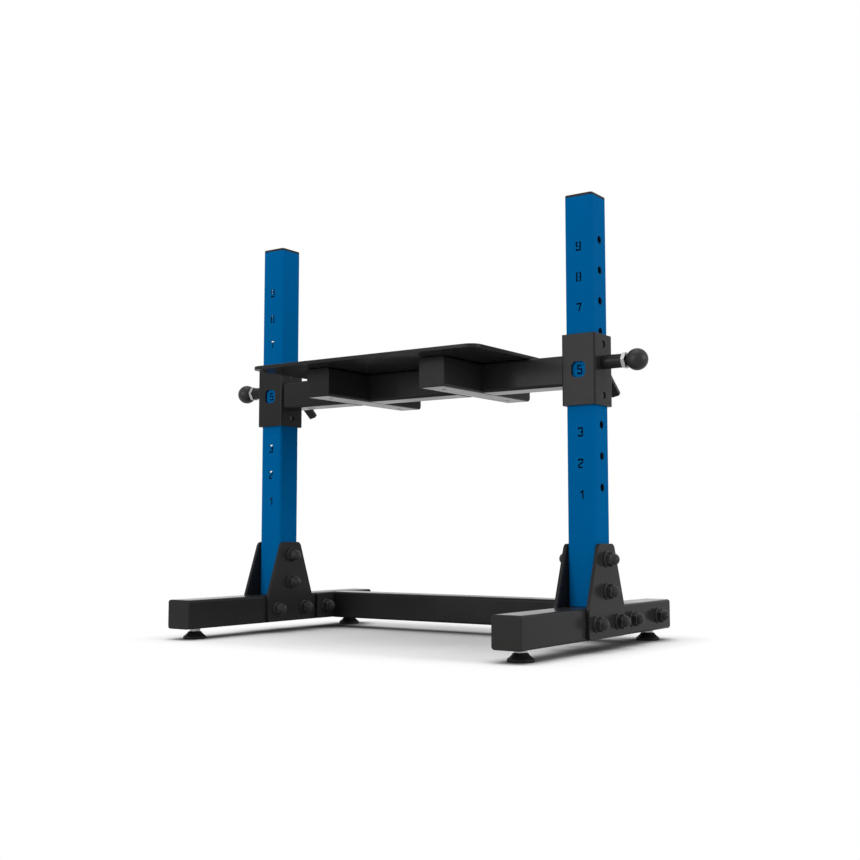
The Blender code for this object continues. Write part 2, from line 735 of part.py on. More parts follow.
def make_sleeves(carriage):
    stud_heights = [SLEEVE_Z + offset for offset in spaced(STUD_SPACING)]
    nut_y = SLEEVE_OUTER / 2 + (WELD_NUT_HEIGHT - FUSE) / 2
    screw_y = SLEEVE_OUTER / 2 + (WELD_NUT_HEIGHT - SLEEVE_WALL) / 2
    screw_length = WELD_NUT_HEIGHT + SLEEVE_WALL + 2 * OVERSHOOT
    through_wall = 2 * (SLEEVE_WALL + OVERSHOOT)
    for side_name, side in SIDES.items():
        name = "sleeve_" + side_name
        x = side * POST_X
        mesh = section_mesh(name, SLEEVE_OUTER, SLEEVE_CORNER, SLEEVE_HEIGHT, SLEEVE_WALL)
        sleeve = piece(name, mesh, BLACK_POWDER, (x, 0, SLEEVE_Z), parent=carriage)
        nut_mesh = plate_mesh(name + "_nut", [hexagon(WELD_NUT_WIDTH)], WELD_NUT_HEIGHT + FUSE)
        fuse(sleeve, cutter(name + "_nut", nut_mesh, (x, nut_y, CLAMP_Z), ALONG_Y))
        screw_at = [(x, screw_y, CLAMP_Z)]
        screw_mesh = holes_mesh(name + "_screw", CLAMP_SCREW + 2 * GAP, screw_length, screw_at, ALONG_Y)
        cut(sleeve, cutter(name + "_screw", screw_mesh))
        window = window_mesh(name + "_window", 0, through_wall)
        cut(sleeve, cutter(name + "_window", window, (x, -SLEEVE_OUTER / 2, SLEEVE_Z), ALONG_FRONT_Y))
        studs = [(x, 0, z) for z in stud_heights]
        stud_hole = STUD_DIAMETER + 2 * GAP
        stud_mesh = holes_mesh(name + "_studs", stud_hole, SLEEVE_OUTER + 2 * OVERSHOOT, studs, ALONG_X)
        cut(sleeve, cutter(name + "_studs", stud_mesh))
        pin_at = [(x + side * SLEEVE_OUTER / 2, 0, PIN_Z)]
        pin_mesh = holes_mesh(name + "_pin", PIN_HOLE, through_wall, pin_at, ALONG_X)
        cut(sleeve, cutter(name + "_pin", pin_mesh))


def make_liners(carriage):
    height = SLEEVE_HEIGHT - 2 * LINER_INSET
    corner = TUBE_CORNER + GAP + LINER_WALL
    stud_start = LINER_OUTER / 2 - FUSE
    stud_end = SLEEVE_OUTER / 2 - STUD_RECESS
    through_wall = 2 * (LINER_WALL + OVERSHOOT)
    for side_name, side in SIDES.items():
        name = "liner_" + side_name
        x = side * POST_X
        mesh = section_mesh(name, LINER_OUTER, corner, height, LINER_WALL)
        liner = piece(name, mesh, LINER_PLASTIC, (x, 0, SLEEVE_Z), parent=carriage)
        studs = [
            (x + face * (stud_start + stud_end) / 2, 0, SLEEVE_Z + offset)
            for face in (-1, 1)
            for offset in spaced(STUD_SPACING)
        ]
        stud_mesh = rods_mesh(name + "_studs", STUD_DIAMETER, stud_end - stud_start, studs, ALONG_X)
        fuse(liner, cutter(name + "_studs", stud_mesh))
        window = window_mesh(name + "_window", GAP, through_wall)
        cut(liner, cutter(name + "_window", window, (x, -LINER_OUTER / 2, SLEEVE_Z), ALONG_FRONT_Y))
        pin_at = [(x + side * LINER_OUTER / 2, 0, PIN_Z)]
        pin_mesh = holes_mesh(name + "_pin", PIN_HOLE, through_wall, pin_at, ALONG_X)
        cut(liner, cutter(name + "_pin", pin_mesh))


def make_beams(carriage):
    joist_face = JOIST_SPACING / 2 + TUBE / 2 + GAP
    sleeve_face = POST_X - SLEEVE_OUTER / 2 - GAP
    middle_length = JOIST_SPACING - TUBE - 2 * GAP
    sections = {
        "beam_left": (-(joist_face + sleeve_face) / 2, sleeve_face - joist_face),
        "beam_middle": (0, middle_length),
        "beam_right": ((joist_face + sleeve_face) / 2, sleeve_face - joist_face),
    }
    for name, (x, length) in sections.items():
        mesh = section_mesh(name, TUBE, TUBE_CORNER, length, TUBE_WALL)
        piece(name, mesh, BLACK_POWDER, (x, 0, SLEEVE_Z), ALONG_X, carriage)


def make_joists(carriage):
    core_size = TUBE - 2 * TUBE_WALL
    for side_name, side in SIDES.items():
        name = "joist_" + side_name
        place = (side * JOIST_SPACING / 2, 0, SLEEVE_Z)
        mesh = section_mesh(name, TUBE, TUBE_CORNER, JOIST_LENGTH)
        joist = piece(name, mesh, BLACK_POWDER, place, ALONG_Y, carriage)
        ends = joist.modifiers.new("end_edges", "BEVEL")
        ends.width = JOIST_END_RADIUS
        ends.segments = 2
        ends.limit_method = "ANGLE"
        ends.angle_limit = math.radians(60)
        core_length = JOIST_LENGTH - 2 * TUBE_WALL
        core_mesh = section_mesh(name + "_core", core_size, TUBE_CORNER - TUBE_WALL, core_length)
        cut(joist, cutter(name + "_core", core_mesh, place, ALONG_Y))
        vents = [(place[0], y, SLEEVE_Z - TUBE / 2) for y in spaced(JOIST_VENT_SPACING)]
        vent_mesh = holes_mesh(name + "_vents", VENT_DIAMETER, 2 * (TUBE_WALL + OVERSHOOT), vents)
        cut(joist, cutter(name + "_vents", vent_mesh))


def make_platform_plate(carriage):
    outline = rounded_rectangle(PLATE_LENGTH, PLATE_DEPTH, PLATE_CORNER)
    mesh = plate_mesh("platform_plate", [outline], PLATE_THICKNESS)
    z = SLEEVE_Z + TUBE / 2 + GAP + PLATE_THICKNESS / 2
    piece("platform_plate", mesh, BLACK_POWDER, (0, 0, z), parent=carriage)


# Pull pins, each along its own Z with its origin on the post's axis

def housing_mesh():
    outer = HOUSING_DIAMETER / 2
    bore = HOUSING_BORE / 2
    profile = [
        (outer, HOUSING_END),
        (outer, HOUSING_START),
        (bore, HOUSING_START),
        (bore, HOUSING_END),
    ]
    return turned_mesh("pin_housing", profile, closed=True)


def pin_mesh():
    pin = PIN_DIAMETER / 2
    stem = PIN_STEM / 2
    collar = HOUSING_BORE / 2 - COLLAR_PLAY
    profile = [
        (0, STEM_END),
        (stem, STEM_END),
        (stem, COLLAR_END),
        (collar, COLLAR_END),
        (collar, COLLAR_START),
        (pin, COLLAR_START),
        (pin, PIN_NOSE + PIN_LEAD),
        (pin - PIN_LEAD, PIN_NOSE),
        (0, PIN_NOSE),
    ]
    return turned_mesh("pull_pin", profile)


def knob_mesh():
    ball = KNOB_DIAMETER / 2
    neck = KNOB_NECK_DIAMETER / 2
    bore = PIN_STEM / 2 + GAP
    bore_end = STEM_END + GAP
    neck_end = KNOB_START + KNOB_NECK_LENGTH
    centre = neck_end + math.sqrt(ball ** 2 - neck ** 2)
    last = -math.acos(neck / ball)
    sweep = last - math.pi / 2
    angles = [math.pi / 2 + sweep * step / BALL_ARCS for step in range(1, BALL_ARCS + 1)]
    profile = [(0, centre + ball)]
    profile += [(ball * math.cos(angle), centre + ball * math.sin(angle)) for angle in angles]
    profile += [(neck, KNOB_START), (bore, KNOB_START), (bore, bore_end), (0, bore_end)]
    return turned_mesh("ball_knob", profile)


def spring_mesh():
    """The spring as it is with the pin pulled right out, seated on the housing's nut."""
    start = COLLAR_END + PIN_TRAVEL + GAP + SPRING_WIRE / 2
    end = HOUSING_END - SPRING_WIRE / 2
    radius = (HOUSING_BORE + PIN_STEM) / 4
    count = SPRING_TURNS * SPRING_SIDES
    curve = bpy.data.curves.new("pin_spring", "CURVE")
    curve.dimensions = "3D"
    curve.bevel_depth = SPRING_WIRE / 2
    curve.bevel_resolution = 1
    curve.use_fill_caps = True
    coil = curve.splines.new("POLY")
    coil.points.add(count)
    for index, point in enumerate(coil.points):
        angle = 2 * math.pi * index / SPRING_SIDES
        height = start + (end - start) * index / count
        point.co = (radius * math.cos(angle), radius * math.sin(angle), height, 1)
    holder = bpy.data.objects.new("pin_spring", curve)
    CUTTERS.objects.link(holder)
    return smooth(take_mesh(holder))


def make_pull_pins(carriage):
    housing = housing_mesh()
    nut_outlines = [hexagon(HOUSING_NUT_WIDTH), hole_outline(PIN_STEM + 2 * GAP)]
    nut = plate_mesh("housing_nut", nut_outlines, HOUSING_NUT_HEIGHT)
    nut.transform(Matrix.Translation((0, 0, HOUSING_END + GAP + HOUSING_NUT_HEIGHT / 2)))
    fixed = {
        "pin_housing": (housing, BLACK_POWDER),
        "housing_nut": (nut, ZINC),
        "pin_spring": (spring_mesh(), SPRING_STEEL),
    }
    moving = {
        "pull_pin": (pin_mesh(), STEEL),
        "ball_knob": (knob_mesh(), KNOB_PLASTIC),
    }
    for side_name, side in SIDES.items():
        place = (side * POST_X, 0, PIN_Z)
        turn = ALONG_X if side > 0 else ALONG_BACK_X
        marker = joint_marker("pull_pin_joint_" + side_name, place, carriage)
        for name, (mesh, finish) in fixed.items():
            piece(name + "_" + side_name, mesh, finish, place, turn, carriage)
        for name, (mesh, finish) in moving.items():
            piece(name + "_" + side_name, mesh, finish, place, turn, marker)


# Clamp levers, each about its own Z with its origin at the hub's foot

def lever_mesh():
    hub = LEVER_HUB_DIAMETER / 2
    profile = [
        (0, LEVER_HUB_LENGTH),
        (hub - LEVER_HUB_EDGE, LEVER_HUB_LENGTH),
        (hub, LEVER_HUB_LENGTH - LEVER_HUB_EDGE),
        (hub, 0),
        (0, 0),
    ]
    lever = cutter("clamp_lever", turned_mesh("clamp_lever", profile))
    root = LEVER_ARM_ROOT_WIDTH / 2
    tip = LEVER_ARM_TIP_WIDTH / 2
    corners = [
        (-root, -LEVER_ARM_ROOT),
        (root, -LEVER_ARM_ROOT),
        (tip, LEVER_ARM_LENGTH),
        (-tip, LEVER_ARM_LENGTH),
    ]
    outline = rounded(corners, [LEVER_ARM_CORNER])
    arm = cutter("lever_arm", plate_mesh("lever_arm", [outline], LEVER_ARM_THICKNESS))
    arm.rotation_euler = (LEVER_LEAN, 0, -LEVER_SWING)
    outward = Euler(arm.rotation_euler).to_matrix() @ Vector((0, 0, LEVER_ARM_THICKNESS / 2))
    arm.location = Vector((0, 0, LEVER_ARM_OUT)) + outward
    fuse(lever, arm)
    bore_depth = LEVER_HUB_LENGTH - LEVER_HUB_END
    bore_at = [(0, 0, (bore_depth - OVERSHOOT) / 2)]
    bore_mesh = holes_mesh("lever_bore", CLAMP_SCREW + 2 * GAP, bore_depth + OVERSHOOT, bore_at)
    bore = cutter("lever_bore", bore_mesh)
    cut(lever, bore)
    mesh = smooth(take_mesh(lever))
    bpy.data.objects.remove(arm, do_unlink=True)
    bpy.data.objects.remove(bore, do_unlink=True)
    return mesh


def make_clamp_levers(carriage):
    lever = lever_mesh()
    screw_start = LINER_OUTER / 2 + GAP - HUB_START
    screw_end = LEVER_HUB_LENGTH - LEVER_HUB_END - GAP
    screw_at = [(0, 0, (screw_start + screw_end) / 2)]
    screw = rods_mesh("clamp_screw", CLAMP_SCREW, screw_end - screw_start, screw_at)
    for side_name, side in SIDES.items():
        place = (side * POST_X, HUB_START, CLAMP_Z)
        marker = joint_marker("clamp_lever_joint_" + side_name, place, carriage)
        piece("clamp_lever_" + side_name, lever, BLACK_PLASTIC, place, ALONG_Y, marker)
        piece("clamp_screw_" + side_name, screw, STEEL, place, ALONG_Y, marker)


def main():
    cap_mesh = end_cap_mesh()
    make_foot_rails(cap_mesh)
    make_crossbar()
    make_uprights(cap_mesh)
    make_gussets()
    make_bolts()
    make_levelling_feet()
    carriage = joint_marker("carriage_joint", (0, 0, SLEEVE_Z), None)
    make_sleeves(carriage)
    make_liners(carriage)
    make_beams(carriage)
    make_joists(carriage)
    make_platform_plate(carriage)
    make_pull_pins(carriage)
    make_clamp_levers(carriage)


main()
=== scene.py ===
# %% [markdown]
# # Adjustable step-up platform
# A gym stand: two blue posts on black foot rails, and a black platform that slides up and down
# the posts on two sleeves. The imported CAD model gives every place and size. This notebook models
# a finer piece around each CAD node, gives it a finish, and ties it to the CAD body that carries
# it.

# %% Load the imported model
import json
import math

import bmesh
import bpy
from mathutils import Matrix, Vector

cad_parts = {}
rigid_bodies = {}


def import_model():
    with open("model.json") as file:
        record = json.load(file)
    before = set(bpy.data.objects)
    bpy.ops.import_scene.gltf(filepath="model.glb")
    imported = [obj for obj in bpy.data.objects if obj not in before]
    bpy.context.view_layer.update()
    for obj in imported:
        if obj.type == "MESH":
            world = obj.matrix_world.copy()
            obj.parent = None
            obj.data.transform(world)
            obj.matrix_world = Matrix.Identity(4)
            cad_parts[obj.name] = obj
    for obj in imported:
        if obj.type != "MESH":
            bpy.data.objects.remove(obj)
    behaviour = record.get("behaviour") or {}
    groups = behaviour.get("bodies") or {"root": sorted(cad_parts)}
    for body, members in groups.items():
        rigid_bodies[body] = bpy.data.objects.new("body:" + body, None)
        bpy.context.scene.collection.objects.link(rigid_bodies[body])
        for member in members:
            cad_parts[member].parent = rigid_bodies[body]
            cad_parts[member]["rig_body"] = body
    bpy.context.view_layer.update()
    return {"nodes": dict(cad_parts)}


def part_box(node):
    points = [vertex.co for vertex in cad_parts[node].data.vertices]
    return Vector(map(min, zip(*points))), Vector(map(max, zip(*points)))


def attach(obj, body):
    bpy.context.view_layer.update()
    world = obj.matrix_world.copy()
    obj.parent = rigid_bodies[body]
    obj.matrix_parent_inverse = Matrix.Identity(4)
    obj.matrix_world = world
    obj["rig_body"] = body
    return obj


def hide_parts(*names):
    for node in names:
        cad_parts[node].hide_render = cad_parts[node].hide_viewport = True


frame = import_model()
MM = 0.001
SIDES = {"left": -1, "right": 1}
ENDS = {"front": -1, "rear": 1}
BOTH_WAYS = (-1, 1)

# %% [markdown]
# ## Camera
# The photograph looks up slightly from the height of the lower gussets. A camera could be placed
# by eye, but straight tubes show every error, so a perspective camera was fitted to the edges of
# the posts and rails. Its place, turn and lens are plain numbers. Depth of field stays off.

# %% Camera
CAMERA_PLACE = (1.2055, -1.6957, 0.1839)
CAMERA_TILT = math.radians(94.97)
CAMERA_SWING = math.radians(34.92)
SENSOR_WIDTH = 36      # millimetres, as for a full-frame camera
LENS = 49.54           # millimetres
VIEW_END = 200         # metres, so that the far floor is drawn
camera = bpy.data.objects.new("camera", bpy.data.cameras.new("camera"))
bpy.context.scene.collection.objects.link(camera)
camera.location = CAMERA_PLACE
camera.rotation_euler = (CAMERA_TILT, 0, CAMERA_SWING)
camera.data.sensor_width = SENSOR_WIDTH
camera.data.lens = LENS
camera.data.clip_end = VIEW_END
bpy.context.scene.camera = camera
print("camera", tuple(camera.location), "lens", camera.data.lens)

# %% [markdown]
# ## Node helpers
# Materials here are small trees of nodes. They could be wired line by line, but one helper that
# adds a node and fills its inputs keeps each finish below to a few readable lines: a plain value
# is typed in, and an output of another node is linked.

# %% Node helpers
def node(tree, kind, values=None, **settings):
    """Adds a node. A value that is another node's output is linked, and any other is typed in."""
    made = tree.nodes.new(kind)
    for key, value in settings.items():
        setattr(made, key, value)
    for key, value in (values or {}).items():
        if isinstance(value, bpy.types.NodeSocket):
            tree.links.new(value, made.inputs[key])
        else:
            made.inputs[key].default_value = value
    return made


def math_node(tree, operation, *values):
    """One sum on numbers. Each value is a number or another node's output."""
    return node(tree, "ShaderNodeMath", dict(enumerate(values)), operation=operation).outputs[0]


def vector_node(tree, operation, *values, result="Vector"):
    """One sum on vectors, whose result is a vector or, for a length or a product, a value."""
    made = node(tree, "ShaderNodeVectorMath", dict(enumerate(values)), operation=operation)
    return made.outputs[result]


def noise(tree, place, scale, detail, roughness=0.5):
    """A soft random cloud from 0 to 1, with as many blobs to the metre as its scale."""
    values = {"Vector": place, "Scale": scale, "Detail": detail, "Roughness": roughness}
    return node(tree, "ShaderNodeTexNoise", values).outputs["Fac"]


def spread(tree, value, low, high, to_low=0.0, to_high=1.0):
    """Stretches a value's range from low..high to to_low..to_high, and stops at both ends."""
    ends = {"From Min": low, "From Max": high, "To Min": to_low, "To Max": to_high}
    return node(tree, "ShaderNodeMapRange", {"Value": value, **ends}).outputs["Result"]


def blend_colour(tree, factor, first, second):
    """Mixes two colours. The Mix node has sockets of the same name for each kind of data, so the
    colour ones are found by their identifiers."""
    made = node(tree, "ShaderNodeMix", data_type="RGBA")
    for name, value in (("Factor_Float", factor), ("A_Color", first), ("B_Color", second)):
        socket = next(s for s in made.inputs if s.identifier == name)
        if isinstance(value, bpy.types.NodeSocket):
            tree.links.new(value, socket)
        else:
            socket.default_value = value
    return next(s for s in made.outputs if s.identifier == "Result_Color")


def new_group(name, inputs, outputs):
    """An empty node group with number sockets, ready to fill."""
    tree = bpy.data.node_groups.new(name, "ShaderNodeTree")
    for label, value in inputs.items():
        socket = tree.interface.new_socket(label, in_out="INPUT", socket_type="NodeSocketFloat")
        socket.default_value = value
    for label in outputs:
        tree.interface.new_socket(label, in_out="OUTPUT", socket_type="NodeSocketFloat")
    return tree, tree.nodes.new("NodeGroupInput"), tree.nodes.new("NodeGroupOutput")


print("helpers ready")

# %% [markdown]
# ## Shared effects
# Three effects turn up in several finishes, so each is a node group that is placed with its own
# values. *Grain* is the fine pebbling of baked powder and of moulded plastic: two sizes of noise
# for height, and a speckle for colour. *Edge rub and sheen* finds the rims of a piece by comparing
# its true normal with one rounded over a millimetre. Their lighter colour is partly the wear of
# handling, which thins and polishes a coat there, and partly a painted highlight.
# *Handling* is a slow cloud of slightly smoother and rougher skin. They could read a UV map, but
# all of them read Object coordinates, which need no unwrapping and stay put when a piece moves.

# %% Grain group
FINER = 2.7          # the second noise has blobs this many times smaller
FINER_SHARE = 0.45   # and this share of it is added to the first
tree, inside, outside = new_group("grain", {"Size": 0.8 * MM}, ["Height", "Speckle"])
place = node(tree, "ShaderNodeTexCoord").outputs["Object"]
per_metre = math_node(tree, "DIVIDE", 1.0, inside.outputs["Size"])
coarse = noise(tree, place, per_metre, detail=2.0, roughness=0.55)
fine = noise(tree, place, math_node(tree, "MULTIPLY", per_metre, FINER), detail=1.0)
both = math_node(tree, "MULTIPLY_ADD", fine, FINER_SHARE, coarse)
tree.links.new(both, outside.inputs["Height"])
tree.links.new(spread(tree, coarse, 0.36, 0.64), outside.inputs["Speckle"])
GRAIN = tree
print("group", GRAIN.name)

# %% Edge rub and painted highlight group
SAME_WAY = 0.995     # product of the two normals on a flat, with no rub and no painted highlight
WELL_ROUND = 0.90    # and on a rim, where the rub and the painted highlight are full
PATCHES = 160.0      # blobs to the metre in the unevenness of the rub and the highlight
tree, inside, outside = new_group("edge_rub_and_sheen", {"Reach": 1.0 * MM, "Strength": 1.0}, ["Rub"])
rounding = node(tree, "ShaderNodeBevel", {"Radius": inside.outputs["Reach"]}, samples=4)
true_normal = node(tree, "ShaderNodeNewGeometry").outputs["Normal"]
alike = vector_node(tree, "DOT_PRODUCT", rounding.outputs["Normal"], true_normal, result="Value")
rim = spread(tree, alike, SAME_WAY, WELL_ROUND)
place = node(tree, "ShaderNodeTexCoord").outputs["Object"]
uneven = spread(tree, noise(tree, place, PATCHES, detail=3.0), 0.32, 0.62, 0.25, 1.0)
patchy_rim = math_node(tree, "MULTIPLY", rim, uneven)
rub_and_sheen = math_node(tree, "MULTIPLY", patchy_rim, inside.outputs["Strength"])
tree.links.new(rub_and_sheen, outside.inputs["Rub"])
EDGE_RUB_AND_SHEEN = tree
print("group", EDGE_RUB_AND_SHEEN.name)

# %% Handling group
tree, inside, outside = new_group("handling", {"Size": 0.12}, ["Cloud"])
place = node(tree, "ShaderNodeTexCoord").outputs["Object"]
slow = math_node(tree, "DIVIDE", 1.0, inside.outputs["Size"])
cloud = noise(tree, place, slow, detail=4.0, roughness=0.6)
tree.links.new(spread(tree, cloud, 0.3, 0.7), outside.inputs["Cloud"])
HANDLING = tree
print("group", HANDLING.name)

# %% [markdown]
# ## Finishes
# Every finish on this stand is a coat or a moulding with grain in it, so one recipe serves them:
# the colour drifts a little with the cloud and the speckle and lightens along the rims, partly as
# rubbed wear and partly as a painted highlight, the roughness follows the cloud, and the grain's
# height drives a Bump node. Numbers that are the same all over sit on the shader's own sockets.
# The values are what tells powder coat from plastic or plate.

# %% Finish recipe
SPECKLE_SHARE = 0.6
CLOUD_SHARE = 0.4


def place_group(tree, group, **values):
    """Places a group in a material with its own values, and returns its outputs."""
    made = tree.nodes.new("ShaderNodeGroup")
    made.node_tree = group
    for label, value in values.items():
        made.inputs[label].default_value = value
    return made.outputs


def finish(
    name, colour, rim_wear_and_sheen, roughness, grain, bump,
    drift=0.12, rough_drift=0.06, rub_and_sheen=0.5, **shader_values,
):
    """A grained finish. Colours are linear, grain and bump are metres, and each shader value is a
    socket's name with underscores for its spaces."""
    made = bpy.data.materials.new(name)
    made.use_nodes = True
    tree = made.node_tree
    shader = tree.nodes["Principled BSDF"]
    pebbles = place_group(tree, GRAIN, Size=grain)
    rim = place_group(tree, EDGE_RUB_AND_SHEEN, Strength=rub_and_sheen)["Rub"]
    cloud = place_group(tree, HANDLING)["Cloud"]
    clouded = math_node(tree, "MULTIPLY", cloud, CLOUD_SHARE)
    shade = math_node(tree, "MULTIPLY_ADD", pebbles["Speckle"], SPECKLE_SHARE, clouded)
    darker = (*[channel * (1 - drift) for channel in colour], 1)
    lighter = (*[channel * (1 + drift) for channel in colour], 1)
    skin = blend_colour(tree, shade, darker, lighter)
    # Rims take the rim colour: partly rubbed wear, partly a painted highlight.
    tree.links.new(blend_colour(tree, rim, skin, (*rim_wear_and_sheen, 1)), shader.inputs["Base Color"])
    rough = spread(tree, cloud, 0, 1, roughness - rough_drift, roughness + rough_drift)
    tree.links.new(rough, shader.inputs["Roughness"])
    heights = {"Strength": 1.0, "Distance": bump, "Height": pebbles["Height"]}
    relief = node(tree, "ShaderNodeBump", heights)
    tree.links.new(relief.outputs["Normal"], shader.inputs["Normal"])
    for label, value in shader_values.items():
        shader.inputs[label.replace("_", " ")].default_value = value
    return made


print("recipe ready")

# %% Powder coats and metals
# The coat's lighter brown rim colour is partly rubbed wear and partly a painted highlight.
BLACK_COAT = finish(
    "black_powder", (0.0215, 0.0215, 0.0218), (0.05, 0.047, 0.044), 0.2, 0.9 * MM, 0.02 * MM,
    drift=0.25, IOR=1.1, Specular_IOR_Level=1.0,
)
BLUE_COAT = finish(
    "blue_powder", (0.0, 0.102, 0.292), (0.0, 0.13, 0.35), 0.5, 0.9 * MM, 0.1 * MM,
    drift=0.07, IOR=1.04, Specular_Tint=(0.0, 0.4, 0.8, 1),
)
# Painted shade: a darker, duller blue for the bore and the walls of the holes and numerals.
TUBE_INSIDE_PAINTED_SHADE = finish(
    "tube_inside_painted_shade", (0.003, 0.022, 0.06), (0.004, 0.03, 0.08), 0.7, 1.5 * MM, 0.1 * MM,
    drift=0.4,
)
ZINC = finish(
    "bright_zinc", (0.36, 0.36, 0.35), (0.46, 0.46, 0.44), 0.35, 1.6 * MM, 0.02 * MM,
    drift=0.06, Metallic=1.0,
)
STEEL = finish(
    "turned_steel", (0.56, 0.56, 0.57), (0.7, 0.7, 0.7), 0.28, 0.4 * MM, 0.02 * MM,
    drift=0.08, Metallic=1.0,
)
SPRING_STEEL = finish(
    "spring_wire", (0.33, 0.33, 0.34), (0.4, 0.4, 0.4), 0.36, 0.5 * MM, 0.02 * MM,
    drift=0.15, Metallic=1.0,
)
print("coats", BLACK_COAT.name, BLUE_COAT.name)

# %% Plastics
# The fixings' pale rim colour is partly rubbed wear and partly a painted highlight along the washer
# rims and hex edges.
FIXING_BLACK = finish(
    "fixing_black", (0.027, 0.027, 0.027), (0.16, 0.155, 0.15), 0.4, 0.5 * MM, 0.02 * MM,
    drift=0.2, IOR=1.15, Specular_IOR_Level=1.0,
)
PLUG_PLASTIC = finish(
    "plug_moulding", (0.020, 0.0195, 0.019), (0.045, 0.043, 0.040), 0.4, 0.7 * MM, 0.06 * MM,
    drift=0.25, IOR=1.12, Specular_IOR_Level=1.0,
)
KNOB_PLASTIC = finish(
    "knob_moulding", (0.015, 0.015, 0.015), (0.03, 0.03, 0.03), 0.45, 0.5 * MM, 0.005 * MM,
    drift=0.1, rough_drift=0.04, IOR=1.22, Specular_IOR_Level=1.0,
)
LINER_PLASTIC = finish(
    "liner_moulding", (0.01, 0.01, 0.01), (0.02, 0.02, 0.02), 0.5, 0.6 * MM, 0.04 * MM
)
FOOT_PLASTIC = finish(
    "foot_moulding", (0.008, 0.008, 0.008), (0.02, 0.02, 0.02), 0.5, 0.6 * MM, 0.05 * MM,
    drift=0.2, IOR=1.2,
)
FINISH_OF = {
    "black_powder_coat": BLACK_COAT,
    "blue_powder_coat": BLUE_COAT,
    "zinc_plate": ZINC,
    "bright_steel": STEEL,
    "spring_steel": SPRING_STEEL,
    "black_fixings": FIXING_BLACK,
    "plug_plastic": PLUG_PLASTIC,
    "knob_plastic": KNOB_PLASTIC,
    "liner_plastic": LINER_PLASTIC,
    "foot_plastic": FOOT_PLASTIC,
}
print("finishes", len(FINISH_OF))

# %% [markdown]
# ## Modelling helpers
# The pieces are modelled as by hand: a primitive is added at the origin, shaped in edit mode, and
# its place is moved into the mesh, so that every object stays at the origin. The helpers below
# only shorten the clicks. Edges and faces are picked in code by their place or direction, in
# place of a mouse.

# %% Picking and editing
X, Y, Z = range(3)           # the axes, as a vector numbers them
HAIR = 0.01 * MM             # places that are closer than this count as one
NEARLY_ALONG = 0.99          # the least share of a direction that lies along its axis
SHARP = math.radians(60)     # an edge that turns by more than this is a rim


def pick_only(piece):
    bpy.ops.object.select_all(action="DESELECT")
    piece.select_set(True)
    bpy.context.view_layer.objects.active = piece


def into_edit(piece):
    pick_only(piece)
    bpy.ops.object.mode_set(mode="EDIT")


def out_of_edit():
    bpy.ops.object.mode_set(mode="OBJECT")


def pick(piece, kind, test):
    """In edit mode, selects the verts, edges or faces that pass a test, and nothing else."""
    bpy.ops.mesh.select_mode(type=kind)
    bpy.ops.mesh.select_all(action="DESELECT")
    shape = bmesh.from_edit_mesh(piece.data)
    parts = {"VERT": shape.verts, "EDGE": shape.edges, "FACE": shape.faces}[kind]
    for part in parts:
        if test(part):
            part.select_set(True)
    bmesh.update_edit_mesh(piece.data)


def face_outward():
    """In edit mode, turns the front of every face outward."""
    bpy.ops.mesh.select_all(action="SELECT")
    bpy.ops.mesh.normals_make_consistent(inside=False)


def middle(part):
    """The middle of an edge or face."""
    return sum((vert.co for vert in part.verts), Vector()) / len(part.verts)


def runs_along(axis):
    """A test for straight edges along an axis."""
    def test(edge):
        way = edge.verts[1].co - edge.verts[0].co
        return abs(way[axis]) > NEARLY_ALONG * way.length
    return test


def faces_along(axis):
    """A test for faces that look along an axis, either way."""
    return lambda face: abs(face.normal[axis]) > NEARLY_ALONG


print("picking ready")

# %% Blocks, tubes and rods
CORNER_STEPS = 6       # facets in the round corner of a tube
RIM_STEPS = 2          # facets in a rim that is only seen as a thin line
SOFT_STEPS = 3         # facets in a rim that catches the light


def block(name, low, high):
    """A cube, stretched and moved in edit mode until it fills the space between two corners."""
    low, high = Vector(low), Vector(high)
    bpy.ops.object.select_all(action="DESELECT")
    bpy.ops.mesh.primitive_cube_add(size=1)
    made = bpy.context.object
    made.name = made.data.name = name
    bpy.ops.object.mode_set(mode="EDIT")
    bpy.ops.transform.resize(value=tuple(high - low))
    bpy.ops.transform.translate(value=tuple((low + high) / 2))
    out_of_edit()
    return made


def round_off(piece, test, radius, steps):
    """Rounds the edges that pass a test."""
    into_edit(piece)
    pick(piece, "EDGE", test)
    bpy.ops.mesh.bevel(offset=radius, segments=steps, profile=0.5)
    out_of_edit()


def end_rims(piece, axis):
    """A test for the sharp edges that go round a piece's two ends."""
    reach = [vert.co[axis] for vert in piece.data.vertices]
    ends = (min(reach), max(reach))

    def test(edge):
        at_end = any(all(abs(vert.co[axis] - end) < HAIR for vert in edge.verts) for end in ends)
        return at_end and len(edge.link_faces) == 2 and edge.calc_face_angle(0) > SHARP
    return test


def soft_block(
    name, low, high, axis, corner, rim, corner_steps=CORNER_STEPS, rim_steps=SOFT_STEPS
):
    """A block whose edges along an axis are rounded, with a softer line round both its ends."""
    made = block(name, low, high)
    round_off(made, runs_along(axis), corner, corner_steps)
    round_off(made, end_rims(made, axis), rim, rim_steps)
    return made


def square_tube(name, low, high, axis, corner, wall, rim):
    """A block with round long corners, whose ends are inset by the wall and bridged into a bore."""
    made = block(name, low, high)
    round_off(made, runs_along(axis), corner, CORNER_STEPS)
    into_edit(made)
    pick(made, "FACE", faces_along(axis))
    bpy.ops.mesh.inset(thickness=wall)
    bpy.ops.mesh.bridge_edge_loops()
    out_of_edit()
    round_off(made, end_rims(made, axis), rim, RIM_STEPS)
    return made


